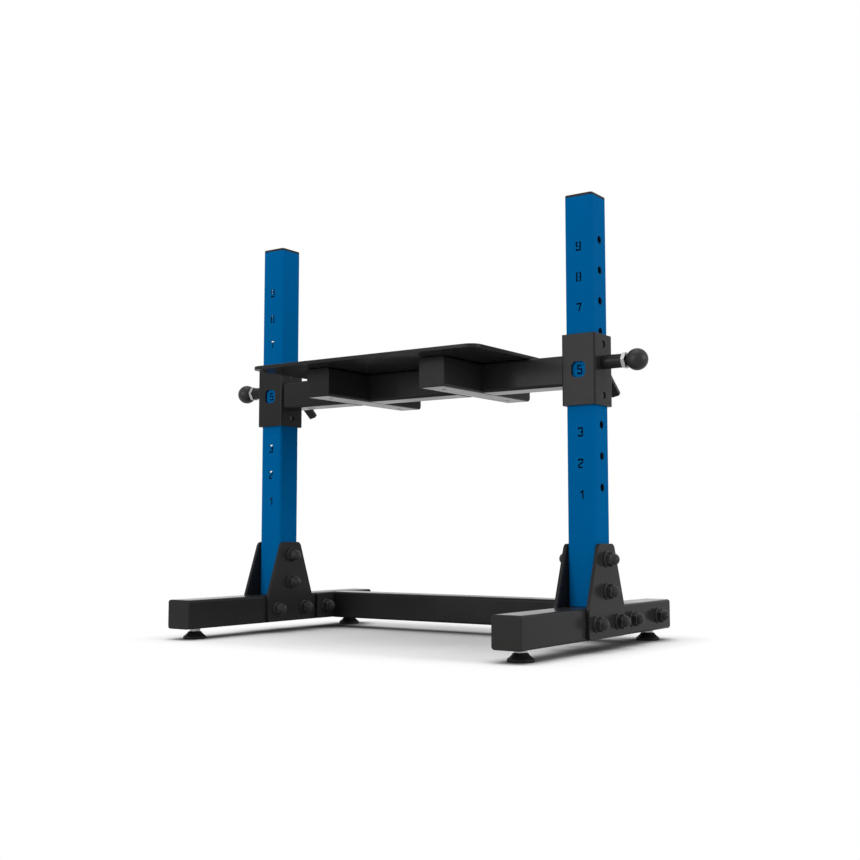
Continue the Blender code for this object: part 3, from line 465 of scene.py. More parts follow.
def rods(name, diameter, length, places, turn=(0, 0, 0), sides=40):
    """Equal cylinders in one object, each centred on a place."""
    made = []
    for place in places:
        bpy.ops.mesh.primitive_cylinder_add(
            vertices=sides, radius=diameter / 2, depth=length, location=place, rotation=turn
        )
        made.append(bpy.context.object)
    bpy.ops.object.select_all(action="DESELECT")
    for rod in made:
        rod.select_set(True)
    bpy.context.view_layer.objects.active = made[0]
    if len(made) > 1:
        bpy.ops.object.join()
    bpy.ops.object.transform_apply(location=True, rotation=True, scale=True)
    made[0].name = made[0].data.name = name
    return made[0]


def apply_modifier(piece, modifier):
    """Makes a modifier's result the piece's own mesh."""
    pick_only(piece)
    bpy.ops.object.modifier_apply(modifier=modifier.name)


def drop(*pieces):
    """Takes spare shapes out of the scene."""
    for piece in pieces:
        bpy.data.objects.remove(piece, do_unlink=True)


def combine(piece, tool, operation="DIFFERENCE"):
    """Cuts or joins two solids with a Boolean, and drops the tool."""
    step = piece.modifiers.new("boolean", "BOOLEAN")
    step.operation = operation
    step.solver = "EXACT"
    step.object = tool
    apply_modifier(piece, step)
    drop(tool)
    return piece


def drill(piece, diameter, depth, places, turn=(0, 0, 0)):
    """Drills equal holes, each centred on a place."""
    return combine(piece, rods("drill", diameter, depth, places, turn))


ALONG_X = (0, math.pi / 2, 0)
ALONG_BACK_X = (0, -math.pi / 2, 0)
ALONG_Y = (-math.pi / 2, 0, 0)
ALONG_FRONT_Y = (math.pi / 2, 0, 0)
OUTWARD = {"left": ALONG_BACK_X, "right": ALONG_X}
print("blocks ready")

# %% Traced and turned shapes
SEAM = 0.002 * MM      # points of a turned shape that are closer than this are merged


def trace(name, points):
    """One vertex, extruded from point to point like a pen line."""
    points = [Vector(point) for point in points]
    bpy.ops.object.select_all(action="DESELECT")
    bpy.ops.mesh.primitive_plane_add(size=MM)
    made = bpy.context.object
    made.name = made.data.name = name
    bpy.ops.object.mode_set(mode="EDIT")
    bpy.ops.mesh.select_mode(type="VERT")
    bpy.ops.mesh.select_all(action="SELECT")
    bpy.ops.mesh.merge(type="CENTER")
    bpy.ops.transform.translate(value=points[0])
    for here, there in zip(points, points[1:]):
        bpy.ops.mesh.extrude_vertices_move(TRANSFORM_OT_translate={"value": there - here})
    out_of_edit()
    return made


def turned(name, profile, sides=48):
    """A profile of (radius, height) points spun round Z, as on a lathe."""
    made = trace(name, [(radius, 0, height) for radius, height in profile])
    into_edit(made)
    bpy.ops.mesh.select_all(action="SELECT")
    bpy.ops.mesh.spin(steps=sides, angle=2 * math.pi, center=(0, 0, 0), axis=(0, 0, 1))
    bpy.ops.mesh.select_all(action="SELECT")
    bpy.ops.mesh.remove_doubles(threshold=SEAM)
    face_outward()
    out_of_edit()
    return made


def arc(centre, radius, start, end, steps):
    """Points on part of a circle, for a lathe profile."""
    angles = [math.radians(start + (end - start) * step / steps) for step in range(steps + 1)]
    across, up = centre
    return [(across + radius * math.cos(angle), up + radius * math.sin(angle)) for angle in angles]


def copy_to(source, name, place=(0, 0, 0), turn=(0, 0, 0)):
    """A copy with its own mesh, moved and turned, with the move applied to the mesh."""
    made = source.copy()
    made.data = source.data.copy()
    made.name = made.data.name = name
    bpy.context.scene.collection.objects.link(made)
    made.location = place
    made.rotation_euler = turn
    pick_only(made)
    bpy.ops.object.transform_apply(location=True, rotation=True, scale=True)
    return made


print("lathe ready")

# %% [markdown]
# ## Handing a piece over
# A finished piece gets its shading, its finish and its tie to the CAD. Smooth shading by angle
# keeps corners crisp, and a Weighted Normal modifier keeps the big flats flat beside their
# rounded edges. The CAD node that the piece stands for gives its body, and a slot name picks its
# finish.

# %% Hand over
SMOOTH_ANGLE = math.radians(50)


def hand_over(piece, cad_node, slot):
    """Shades a piece, gives it its finish, and ties it to the CAD node that it stands for."""
    pick_only(piece)
    bpy.ops.object.shade_smooth_by_angle(angle=SMOOTH_ANGLE)
    even = piece.modifiers.new("even_flats", "WEIGHTED_NORMAL")
    even.keep_sharp = True
    apply_modifier(piece, even)
    if not piece.data.materials:
        piece.data.materials.append(FINISH_OF[slot])
    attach(piece, frame["nodes"][cad_node]["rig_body"])
    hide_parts(cad_node)


print("hand over ready")

# %% [markdown]
# ## Foot rails
# Each rail is a length of square tube with bolt holes through both sides and a threaded boss for
# each levelling foot. A block, four rounded corners and a bridged bore give the tube. The holes
# are drilled with one Boolean, which is quicker than cutting each one into the faces by hand.

# %% Foot rails
TUBE = 50 * MM
TUBE_CORNER = 5 * MM
TUBE_WALL = 3 * MM
TUBE_RIM = 0.6 * MM
BOLT_HOLE = 13 * MM
STUD_HOLE = 10.6 * MM
BOSS = 17 * MM
BOSS_RISE = 10 * MM
SINK = 1 * MM                   # how far two joined shapes run into each other
DRILL_BOTH_WALLS = 1.2 * TUBE
DRILL_ONE_WALL = 4 * TUBE_WALL


def centre_of(cad_node):
    """The middle of a CAD node's box."""
    low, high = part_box(cad_node)
    return (low + high) / 2


def bolt_places(side, *bolts):
    """Where the named bolts cross the middle of their rail or post."""
    post_x = centre_of("upright_" + side).x
    places = [centre_of("bolt_" + bolt + "_" + side) for bolt in bolts]
    return [(post_x, place.y, place.z) for place in places]


for side in SIDES:
    low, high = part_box("foot_rail_" + side)
    rail = square_tube("rail_tube_" + side, low, high, Y, TUBE_CORNER, TUBE_WALL, TUBE_RIM)
    feet = [centre_of("levelling_foot_" + side + "_" + end) for end in ENDS]
    floor_of_tube = low.z + TUBE_WALL
    bosses = [(foot.x, foot.y, floor_of_tube + (BOSS_RISE - SINK) / 2) for foot in feet]
    combine(rail, rods("bosses", BOSS, BOSS_RISE + SINK, bosses), "UNION")
    studs = [(foot.x, foot.y, floor_of_tube) for foot in feet]
    drill(rail, STUD_HOLE, 4 * BOSS_RISE, studs)
    holes = bolt_places(side, "rail_front", "rail_rear", "flange_front", "flange_rear")
    drill(rail, BOLT_HOLE, DRILL_BOTH_WALLS, holes, ALONG_X)
    hand_over(rail, "foot_rail_" + side, "black_powder_coat")
print("foot rails", [round(size, 4) for size in (high - low)])

# %% [markdown]
# ## Tube plugs
# Every open tube end is closed by a moulded plug: a head as wide as the tube, with a soft outer
# edge, and a hollow skirt that grips inside. It could be one block inset twice, but the head's
# round corners leave too little room for that. So the head is a block with its rim rounded, and
# the skirt is a short tube joined under it. One plug serves the four rail ends and the two posts.

# %% Tube plugs
HEAD = 4 * MM
HEAD_SOFTNESS = 1.4 * MM
SKIRT = 15 * MM
SKIRT_WALL = 2.5 * MM
SKIRT_CORNER = 2.8 * MM
SKIRT_GAP = 0.3 * MM
SKIRT_RIM = 0.2 * MM


def on_top(edge):
    """A test for the edges round the head's outer face."""
    return all(vert.co.z > HEAD - HAIR for vert in edge.verts)


plug = block("plug", (-TUBE / 2, -TUBE / 2, 0), (TUBE / 2, TUBE / 2, HEAD))
round_off(plug, runs_along(Z), TUBE_CORNER, CORNER_STEPS)
round_off(plug, on_top, HEAD_SOFTNESS, SOFT_STEPS)
reach = TUBE / 2 - TUBE_WALL - SKIRT_GAP
skirt_low, skirt_high = (-reach, -reach, -SKIRT), (reach, reach, SINK)
skirt = square_tube("skirt", skirt_low, skirt_high, Z, SKIRT_CORNER, SKIRT_WALL, SKIRT_RIM)
combine(plug, skirt, "UNION")

for side in SIDES:
    for end, way in ENDS.items():
        cap_low, cap_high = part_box("rail_end_cap_" + side + "_" + end)
        seat = cap_high.y - HEAD if way > 0 else cap_low.y + HEAD
        turn = ALONG_Y if way > 0 else ALONG_FRONT_Y
        spot = centre_of("foot_rail_" + side)
        cap = copy_to(plug, "rail_plug_" + side + "_" + end, (spot.x, seat, spot.z), turn)
        hand_over(cap, "rail_end_cap_" + side + "_" + end, "plug_plastic")
    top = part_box("upright_cap_" + side)[1].z
    spot = centre_of("upright_" + side)
    cap = copy_to(plug, "post_plug_" + side, (spot.x, spot.y, top - HEAD))
    hand_over(cap, "upright_cap_" + side, "plug_plastic")
drop(plug)
print("plugs seated")

# %% [markdown]
# ## Crossbar
# The rear crossbar is the same tube laid across, with a bolting flange welded to each end and two
# small vents on top. Tube and flanges are separate blocks joined by a Boolean, so that the
# flange's own corners stay clean.

# %% Crossbar
FLANGE = 6 * MM
VENT = 7 * MM
VENT_SPACING = 150 * MM
FLANGE_HEIGHT = 48 * MM
FLANGE_RIM = 0.7 * MM
WELDED_RIM = 0.2 * MM
low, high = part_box("crossbar")
spot = (low + high) / 2
rail_z = centre_of("foot_rail_left").z
tube_low = (low.x + FLANGE / 2, spot.y - TUBE / 2, rail_z - TUBE / 2)
tube_high = (high.x - FLANGE / 2, spot.y + TUBE / 2, rail_z + TUBE / 2)
bar = square_tube("crossbar_tube", tube_low, tube_high, X, TUBE_CORNER, TUBE_WALL, WELDED_RIM)
for side, way in SIDES.items():
    outer = high.x if way > 0 else low.x
    inner = outer - way * FLANGE
    flange_low = (min(outer, inner), low.y, rail_z - FLANGE_HEIGHT / 2)
    flange_high = (max(outer, inner), high.y, rail_z + FLANGE_HEIGHT / 2)
    flange = soft_block(
        "flange_" + side, flange_low, flange_high, X, TUBE_CORNER, FLANGE_RIM, rim_steps=RIM_STEPS
    )
    combine(bar, flange, "UNION")
    places = [centre_of("bolt_flange_" + end + "_" + side) for end in ENDS]
    flange_x = (outer + inner) / 2
    holes = [(flange_x, place.y, place.z) for place in places]
    drill(bar, BOLT_HOLE, 4 * FLANGE, holes, ALONG_X)
vents = [(way * VENT_SPACING / 2, spot.y, rail_z + TUBE / 2) for way in SIDES.values()]
drill(bar, VENT, DRILL_ONE_WALL, vents)
hand_over(bar, "crossbar", "black_powder_coat")
print("crossbar", len(bar.data.polygons), "faces")

# %% [markdown]
# ## Posts and their numerals
# The posts are blue tube with nine pin holes in the outer wall and stencil numerals 1 to 9 cut
# through the front. The bore and the cut walls get a darker, duller blue, which is painted shade
# for these recesses. A stencil numeral is a pen line of even width, so each stroke is traced with
# one vertex, the line is pulled through the wall into a ribbon, Solidify gives the ribbon its
# width, and its bends are bevelled. Text could be typed instead, but no plain font has this
# squared stencil shape.

# %% Numeral strokes
STEP_PITCH = 50 * MM
STEP_SHOWN = 5
NUMERAL_DROP = 12 * MM
NUMERAL_WIDTH = 9.4 * MM
NUMERAL_HEIGHT = 15.2 * MM
NUMERAL_STROKE = 2.5 * MM
OUTER_BEND = 1.2 * MM
OUTER_BEND_STEPS = 4
INNER_BEND = 0.3 * MM
INNER_BEND_STEPS = 2
NEAR_END = 0.6 * NUMERAL_STROKE   # an edge this near to a stroke's end is no bend
# Each stroke goes from corner to corner, on a field from -1 to 1 across and up.
NUMERALS = {
    1: [[(-0.45, 0.6), (0.95, 1), (0.95, -1)]],
    2: [[(-1, 0.6), (-1, 1), (1, 1), (1, 0.3), (-1, -0.45), (-1, -1), (1, -1)]],
    3: [[(-1, 0.6), (-1, 1), (1, 1), (1, -1), (-1, -1), (-1, -0.6)], [(1, 0), (-0.2, 0)]],
    4: [[(0, 1), (-1, -0.35), (1, -0.35)], [(0.45, 0.25), (0.45, -1)]],
    5: [[(1, 1), (-1, 1), (-1, 0.1), (1, 0.1), (1, -1), (-1, -1), (-1, -0.6)]],
    6: [
        [(-0.3, -1), (-1, -1), (-1, 1), (1, 1), (1, 0.6)],
        [(0.3, -1), (1, -1), (1, 0), (0.3, 0)],
        [(-1, 0), (-0.3, 0)],
    ],
    7: [[(-1, 0.7), (-1, 1), (1, 1), (-0.1, -1)]],
    8: [
        [(-0.3, 1), (-1, 1), (-1, -1), (-0.3, -1)],
        [(0.3, 1), (1, 1), (1, -1), (0.3, -1)],
        [(-1, 0), (-0.3, 0)],
        [(1, 0), (0.3, 0)],
    ],
    9: [
        [(0.3, 1), (1, 1), (1, -1), (-1, -1), (-1, -0.6)],
        [(-0.3, 1), (-1, 1), (-1, 0), (-0.3, 0)],
        [(1, 0), (0.3, 0)],
    ],
}
PIN_Z = centre_of("pin_housing_left").z


def step_height(number):
    """How high the pin hole of a step lies."""
    return PIN_Z + (number - STEP_SHOWN) * STEP_PITCH


def stroke(number, corners, depth):
    """One stroke of a numeral as a solid ribbon across the wall, with its bends rounded."""
    half_width = (NUMERAL_WIDTH - NUMERAL_STROKE) / 2
    half_height = (NUMERAL_HEIGHT - NUMERAL_STROKE) / 2
    base = step_height(number) - NUMERAL_DROP
    line = [Vector((x * half_width, -depth / 2, base + z * half_height)) for x, z in corners]
    made = trace("stroke", line)
    into_edit(made)
    bpy.ops.mesh.select_all(action="SELECT")
    bpy.ops.mesh.extrude_region_move(TRANSFORM_OT_translate={"value": (0, depth, 0)})
    face_outward()
    out_of_edit()
    width = made.modifiers.new("width", "SOLIDIFY")
    width.thickness = NUMERAL_STROKE
    width.offset = 0
    width.use_even_offset = True
    apply_modifier(made, width)
    into_edit(made)
    face_outward()
    out_of_edit()

    def is_bend(edge, convex):
        spot = middle(edge)
        spot.y = -depth / 2
        from_ends = min((spot - line[0]).length, (spot - line[-1]).length)
        return runs_along(Y)(edge) and from_ends > NEAR_END and edge.is_convex == convex

    if len(line) > 2:
        round_off(made, lambda edge: is_bend(edge, True), OUTER_BEND, OUTER_BEND_STEPS)
        round_off(made, lambda edge: is_bend(edge, False), INNER_BEND, INNER_BEND_STEPS)
    return made


strokes = []
for number, lines in NUMERALS.items():
    strokes += [stroke(number, corners, DRILL_ONE_WALL) for corners in lines]
print("numeral strokes", len(strokes))

# %% Posts
PIN_HOLE = 13 * MM
POST_RIM = 0.4 * MM
BORE_DEPTH = 0.8 * TUBE_WALL   # a face this deep is in the bore
CUT_DEPTH = 0.1 * TUBE_WALL    # and one this deep is the wall of a hole or numeral


def is_inside(face, low, high):
    """Tells the bore and the cut walls of a post from its coated skin and its ends."""
    from_axis = [abs(face.center[axis] - (low[axis] + high[axis]) / 2) for axis in (X, Y)]
    depth = TUBE / 2 - max(from_axis)
    clear_of_corners = min(from_axis) < TUBE / 2 - TUBE_CORNER
    at_end = min(face.center.z - low.z, high.z - face.center.z) < MM
    return depth > BORE_DEPTH or (depth > CUT_DEPTH and clear_of_corners and not at_end)


for side, way in SIDES.items():
    low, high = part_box("upright_" + side)
    post = square_tube("post_" + side, low, high, Z, TUBE_CORNER, TUBE_WALL, POST_RIM)
    spot = (low + high) / 2
    for ribbon in strokes:
        combine(post, copy_to(ribbon, "numeral_cut", (spot.x, low.y, 0)))
    wall_x = spot.x + way * TUBE / 2
    pins = [(wall_x, spot.y, step_height(number)) for number in NUMERALS]
    drill(post, PIN_HOLE, DRILL_ONE_WALL, pins, ALONG_X)
    holes = bolt_places(side, "upright_upper", "upright_lower")
    drill(post, BOLT_HOLE, DRILL_BOTH_WALLS, holes, ALONG_X)
    # The second finish is painted shade for the bore and the cut walls.
    post.data.materials.append(BLUE_COAT)
    post.data.materials.append(TUBE_INSIDE_PAINTED_SHADE)
    for face in post.data.polygons:
        face.material_index = 1 if is_inside(face, low, high) else 0
    hand_over(post, "upright_" + side, "blue_powder_coat")
drop(*strokes)
print("posts", len(post.data.polygons), "faces")

# %% [markdown]
# ## Gusset plates
# A gusset is a flat plate, straight at the rail and tapering to the top. Its outline could be
# traced and extruded, but a block's corners are easy to find again for rounding. So it starts as
# a block, which is bisected at the shoulder so that only the upper verts are drawn in. Then its
# corners are rounded, its rims are softened as powder coat softens them, and its four bolt holes
# are drilled.

# %% Gusset plates
SHOULDER = 47.5 * MM
TOP_WIDTH = 52 * MM
FOOT_WIDTH = 123 * MM
FOOT_ROUND = 6 * MM
SHOULDER_ROUND = 1.7 * MM
TOP_ROUND = 7 * MM
GUSSET_RIM = 0.8 * MM
low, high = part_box("gusset_left_inner")
spot = (low + high) / 2
gusset = block("gusset", low, high)
into_edit(gusset)
bpy.ops.mesh.select_all(action="SELECT")
bpy.ops.mesh.bisect(plane_co=(0, 0, low.z + SHOULDER), plane_no=(0, 0, 1))
pick(gusset, "VERT", lambda vert: vert.co.z > high.z - MM)
bpy.ops.transform.resize(value=(1, TOP_WIDTH / FOOT_WIDTH, 1), center_override=(*spot.xy, high.z))
out_of_edit()
rounds = {low.z: FOOT_ROUND, low.z + SHOULDER: SHOULDER_ROUND, high.z: TOP_ROUND}
for height, radius in rounds.items():
    round_off(
        gusset,
        lambda edge: runs_along(X)(edge) and abs(middle(edge).z - height) < 10 * HAIR,
        radius,
        CORNER_STEPS,
    )
round_off(gusset, end_rims(gusset, X), GUSSET_RIM, SOFT_STEPS)
names = ("upright_upper", "upright_lower", "rail_front", "rail_rear")
holes = [(spot.x, place[1], place[2]) for place in bolt_places("left", *names)]
drill(gusset, BOLT_HOLE, DRILL_BOTH_WALLS, holes, ALONG_X)
for side in SIDES:
    for face in ("outer", "inner"):
        cad_name = "gusset_" + side + "_" + face
        shift = centre_of(cad_name) - spot
        plate = copy_to(gusset, "gusset_plate_" + side + "_" + face, shift)
        hand_over(plate, cad_name, "black_powder_coat")
drop(gusset)
print("gussets", len(plate.data.polygons), "faces")

# %% [markdown]
# ## Bolts with domed ends
# Each bolt shows a washer and a domed hex cap at both ends. The washer and dome could be bevelled
# cylinders, but on the lathe each is one profile. The hex is a six-sided cylinder whose corners
# are cut back by a Boolean with a turned shape, as on a real nut. One end is modelled, a second
# copy is turned round, and a shank joins them. The flange bolts only differ in their grip. The
# washer's edge slopes, and its flat top stays wider than the hex's corners, which keeps the
# Boolean clean.

# %% One bolt end
WASHER = 26 * MM
WASHER_THICK = 2.5 * MM
WASHER_SLOPE = 1.2 * MM
HEX_WIDTH = 20 * MM
HEX_HEIGHT = 8.9 * MM
DOME = 18.6 * MM
DOME_RISE = 0.3 * MM
DOME_STEPS = 10
BOLT = 12 * MM
WASHER_RIM = 0.4 * MM
HEX_CHAMFER = 0.5 * MM
HEX_SINK = 0.2 * MM
CORNER_SLOPE = 0.4     # how steeply a nut's corners are cut back
CORNERS_ON_X = (0, 0, math.pi / 6)


def hex_prism(name, width, low, high, chamfer=0.0, both_ends=False):
    """A six-sided prism on Z with its corners cut back at the top, or at both ends."""
    radius = width / math.sqrt(3)
    made = rods(name, 2 * radius, high - low, [(0, 0, (low + high) / 2)], sides=6)
    slope = (radius - width / 2) * CORNER_SLOPE + chamfer
    flat = width / 2 - chamfer
    past = radius + chamfer
    profile = [(0, high), (flat, high), (past, high - slope)]
    profile += [(past, low + slope), (flat, low)] if both_ends else [(past, low)]
    profile += [(0, low)]
    return combine(made, turned("chamfer", profile, 60), "INTERSECT")


def bolt_end():
    """The washer, hex and dome on one end, standing on Z with the washer's seat at zero."""
    washer_profile = [
        (0, 0),
        (WASHER / 2 - WASHER_RIM, 0),
        (WASHER / 2, WASHER_RIM),
        (WASHER / 2, WASHER_THICK - WASHER_SLOPE),
        (WASHER / 2 - WASHER_SLOPE, WASHER_THICK),
        (0, WASHER_THICK),
    ]
    made = turned("washer", washer_profile)
    hex_top = WASHER_THICK + HEX_HEIGHT
    hex_body = hex_prism("hex", HEX_WIDTH, WASHER_THICK - HEX_SINK, hex_top, HEX_CHAMFER)
    hex_body.rotation_euler = CORNERS_ON_X
    combine(made, hex_body, "UNION")
    dome_profile = [(0, hex_top - SINK), (DOME / 2, hex_top - SINK)]
    dome_profile += arc((0, hex_top + DOME_RISE), DOME / 2, 0, 90, DOME_STEPS)
    return combine(made, turned("dome", dome_profile), "UNION")


end_shape = bolt_end()
print("bolt end", len(end_shape.data.polygons), "faces")

# %% Bolts
def bolt(name, inner, outer):
    """A bolt on Z whose washers sit inner below and outer above its middle."""
    made = copy_to(end_shape, name, (0, 0, outer))
    combine(made, copy_to(end_shape, "far_end", (0, 0, -inner), (math.pi, 0, 0)), "UNION")
    shank = rods("shank", BOLT, inner + outer + 2 * WASHER_THICK, [(0, 0, (outer - inner) / 2)])
    return combine(made, shank, "UNION")


def seats_of(cad_bolt):
    """How far a right-hand bolt's two washer seats are from the post's axis, inward and outward."""
    low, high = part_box(cad_bolt)
    post_x = centre_of("upright_right").x
    past_seat = WASHER_THICK + HEX_HEIGHT + DOME_RISE + DOME / 2
    return post_x - low.x - past_seat, high.x - post_x - past_seat


gusset_bolt = bolt("gusset_bolt", *seats_of("bolt_rail_front_right"))
flange_bolt = bolt("flange_bolt", *seats_of("bolt_flange_front_right"))
PATTERN_OF = {
    "upright_upper": gusset_bolt,
    "upright_lower": gusset_bolt,
    "rail_front": gusset_bolt,
    "rail_rear": gusset_bolt,
    "flange_front": flange_bolt,
    "flange_rear": flange_bolt,
}
for side in SIDES:
    for kind, pattern in PATTERN_OF.items():
        label = kind + "_" + side
        spot = bolt_places(side, kind)[0]
        made = copy_to(pattern, "domed_bolt_" + label, spot, OUTWARD[side])
        hand_over(made, "bolt_" + label, "black_fixings")
drop(end_shape, gusset_bolt, flange_bolt)
print("bolts", len(made.data.polygons), "faces each")

# %% [markdown]
# ## Levelling feet
# A foot is a moulded pad that flares out from its neck, on a threaded stud, with a zinc jam nut
# under the rail. A cone and a cylinder would be quicker, but one lathe profile gives the hollow
# flare and the thread together. The thread is a zigzag: rings stand in for the spiral, which
# can't be told apart at this size.

# %% Levelling feet
PAD = 40 * MM
PAD_RIM = 4 * MM
PAD_HEIGHT = 12.5 * MM
NECK = 24 * MM
FOOT_STUD = 10 * MM
THREAD_PITCH = 1.5 * MM
THREAD_DEPTH = 0.5 * MM
NECK_ROUND = 1 * MM
RIM_ROUND = 0.4 * MM
SOLE_ROUND = 0.7 * MM
STUD_TIP = 1 * MM      # how far the stud's end is cut back
THREAD_END = 1.5 * MM  # plain stud between the thread and the pad
FLARE_STEPS = 8
FLARE_BEND = 1.25      # 1 is a straight cone, and more is hollow
low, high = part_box("levelling_foot_left_front")
stud_radius = FOOT_STUD / 2
foot_profile = [(0, high.z), (stud_radius - STUD_TIP, high.z)]
threads = int((high.z - PAD_HEIGHT - THREAD_END) / THREAD_PITCH)
for ring in range(threads):
    crest = high.z - STUD_TIP - ring * THREAD_PITCH
    foot_profile += [(stud_radius, crest), (stud_radius - THREAD_DEPTH, crest - THREAD_PITCH / 2)]
foot_profile += [(stud_radius - THREAD_DEPTH, PAD_HEIGHT), (NECK / 2 - NECK_ROUND, PAD_HEIGHT)]
foot_profile += [(NECK / 2 - 0.3 * NECK_ROUND, PAD_HEIGHT - 0.3 * NECK_ROUND)]
flare_top, flare_foot = PAD_HEIGHT - NECK_ROUND, PAD_RIM + RIM_ROUND
for step in range(FLARE_STEPS + 1):
    share = step / FLARE_STEPS
    radius = NECK / 2 + (PAD / 2 - RIM_ROUND - NECK / 2) * share ** FLARE_BEND
    foot_profile.append((radius, flare_top + (flare_foot - flare_top) * share))
foot_profile += [(PAD / 2, PAD_RIM), (PAD / 2, SOLE_ROUND), (PAD / 2 - SOLE_ROUND, 0), (0, 0)]
foot_pattern = turned("foot_pattern", foot_profile)
print("foot", threads, "threads")

# %% Jam nuts and placing
JAM_NUT = 17 * MM
JAM_NUT_HEIGHT = 5 * MM
NUT_CHAMFER = 0.1 * MM


def drilled_nut(name, width, height, bore):
    """A hex nut on Z, centred on the origin, its corners cut back and its bore drilled."""
    made = hex_prism(name, width, -height / 2, height / 2, NUT_CHAMFER, both_ends=True)
    return drill(made, bore, 2 * height, [(0, 0, 0)])


jam_nut = drilled_nut("jam_nut", JAM_NUT, JAM_NUT_HEIGHT, STUD_HOLE)
for side in SIDES:
    for end in ENDS:
        label = side + "_" + end
        spot = centre_of("levelling_foot_" + label)
        foot = copy_to(foot_pattern, "foot_pad_" + label, (spot.x, spot.y, 0))
        hand_over(foot, "levelling_foot_" + label, "foot_plastic")
        nut = copy_to(jam_nut, "jam_nut_" + label, centre_of("levelling_nut_" + label))
        hand_over(nut, "levelling_nut_" + label, "zinc_plate")
drop(foot_pattern, jam_nut)
print("levelling feet placed")

# %% [markdown]
# ## Sleeves and liners
# A sleeve is a short, wider tube with a window for the numeral, two stud holes in each side wall,
# a hole for the pull pin and a nut welded behind for the clamp. Inside it sits a plastic liner
# whose studs show in the side holes, a little below the surface. The openings could be inset into
# the faces, but Booleans cut them as a drill and a punch do, through round corners too.

# %% Sleeves
SLEEVE_WALL = 3 * MM
SLEEVE_CORNER = 3.5 * MM
WINDOW_WIDTH = 25 * MM
WINDOW_HEIGHT = 25.8 * MM
WINDOW_CORNER = 5.3 * MM
STUD = 11.4 * MM
STUD_SPACING = 82 * MM
WELD_NUT = 17 * MM
WELD_NUT_SINK = 0.5 * MM
WELD_NUT_CHAMFER = 0.3 * MM
SCREW_HOLE = 10.6 * MM
SCREW_DRILL = 40 * MM
SLEEVE_RIM = 0.7 * MM
GAP = 0.3 * MM


def window_cutter(spot, margin, depth):
    """A block with its four corners cut straight, centred on a wall."""
    half = Vector((WINDOW_WIDTH / 2 + margin, depth / 2, WINDOW_HEIGHT / 2 + margin))
    made = block("window", Vector(spot) - half, Vector(spot) + half)
    round_off(made, runs_along(Y), WINDOW_CORNER, 1)
    return made


for side, way in SIDES.items():
    low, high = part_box("sleeve_" + side)
    half = (high.x - low.x) / 2
    x = (low.x + high.x) / 2
    z = (low.z + high.z) / 2
    tube_low, tube_high = (x - half, -half, low.z), (x + half, half, high.z)
    name = "sleeve_tube_" + side
    sleeve = square_tube(name, tube_low, tube_high, Z, SLEEVE_CORNER, SLEEVE_WALL, SLEEVE_RIM)
    clamp_z = centre_of("clamp_screw_" + side).z
    nut = hex_prism("weld_nut", WELD_NUT, -WELD_NUT_SINK, high.y - half, WELD_NUT_CHAMFER)
    nut.location = (x, half, clamp_z)
    nut.rotation_euler = ALONG_Y
    combine(sleeve, nut, "UNION")
    drill(sleeve, SCREW_HOLE, SCREW_DRILL, [(x, half, clamp_z)], ALONG_Y)
    combine(sleeve, window_cutter((x, -half, z), 0, 4 * SLEEVE_WALL))
    studs = [(x, 0, z + up * STUD_SPACING / 2) for up in BOTH_WAYS]
    drill(sleeve, STUD + 2 * GAP, 3 * half, studs, ALONG_X)
    drill(sleeve, PIN_HOLE, 4 * SLEEVE_WALL, [(x + way * half, 0, PIN_Z)], ALONG_X)
    hand_over(sleeve, "sleeve_" + side, "black_powder_coat")
print("sleeves", len(sleeve.data.polygons), "faces")

# %% Liners
LINER_WALL = 1.4 * MM
LINER_CORNER = 6.7 * MM
LINER_RIM = 0.3 * MM
STUD_SINK = 0.5 * MM
STUD_RIM = 0.3 * MM
for side, way in SIDES.items():
    low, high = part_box("liner_" + side)
    half = (high.y - low.y) / 2
    x = (low.x + high.x) / 2
    z = (low.z + high.z) / 2
    tube_low, tube_high = (x - half, -half, low.z), (x + half, half, high.z)
    name = "bearing_liner_" + side
    liner = square_tube(name, tube_low, tube_high, Z, LINER_CORNER, LINER_WALL, LINER_RIM)
    reach = (high.x - low.x) / 2
    stud_x = (reach + half - STUD_SINK) / 2
    stud_z = STUD_SPACING / 2
    studs = [(x + across * stud_x, 0, z + up * stud_z) for across in BOTH_WAYS for up in BOTH_WAYS]
    stud_rods = rods("studs", STUD, reach - half + STUD_SINK, studs, ALONG_X)
    round_off(stud_rods, lambda edge: edge.calc_face_angle(0) > SHARP, STUD_RIM, RIM_STEPS)
    combine(liner, stud_rods, "UNION")
    combine(liner, window_cutter((x, -half, z), GAP, 6 * LINER_WALL))
    drill(liner, PIN_HOLE, 6 * LINER_WALL, [(x + way * half, 0, PIN_Z)], ALONG_X)
    hand_over(liner, "liner_" + side, "liner_plastic")
print("liners", len(liner.data.polygons), "faces")

# %% [markdown]
# ## Beams, joists and plate
# Under the plate two joists run front to back, closed at both ends, and the cross beam is let in
# between them in three lengths. A joist could be a tube with a plate on each end, but a rounded
# block with an inner block taken out has no seams, and its vents still look into a dark bore. The
# plate is a single sheet with round corners and a softened rim.

# %% Beams
BEAM_RIM = 0.3 * MM
for part in ("left", "middle", "right"):
    low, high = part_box("beam_" + part)
    beam = square_tube("beam_tube_" + part, low, high, X, TUBE_CORNER, TUBE_WALL, BEAM_RIM)
    hand_over(beam, "beam_" + part, "black_powder_coat")
print("beams cut")

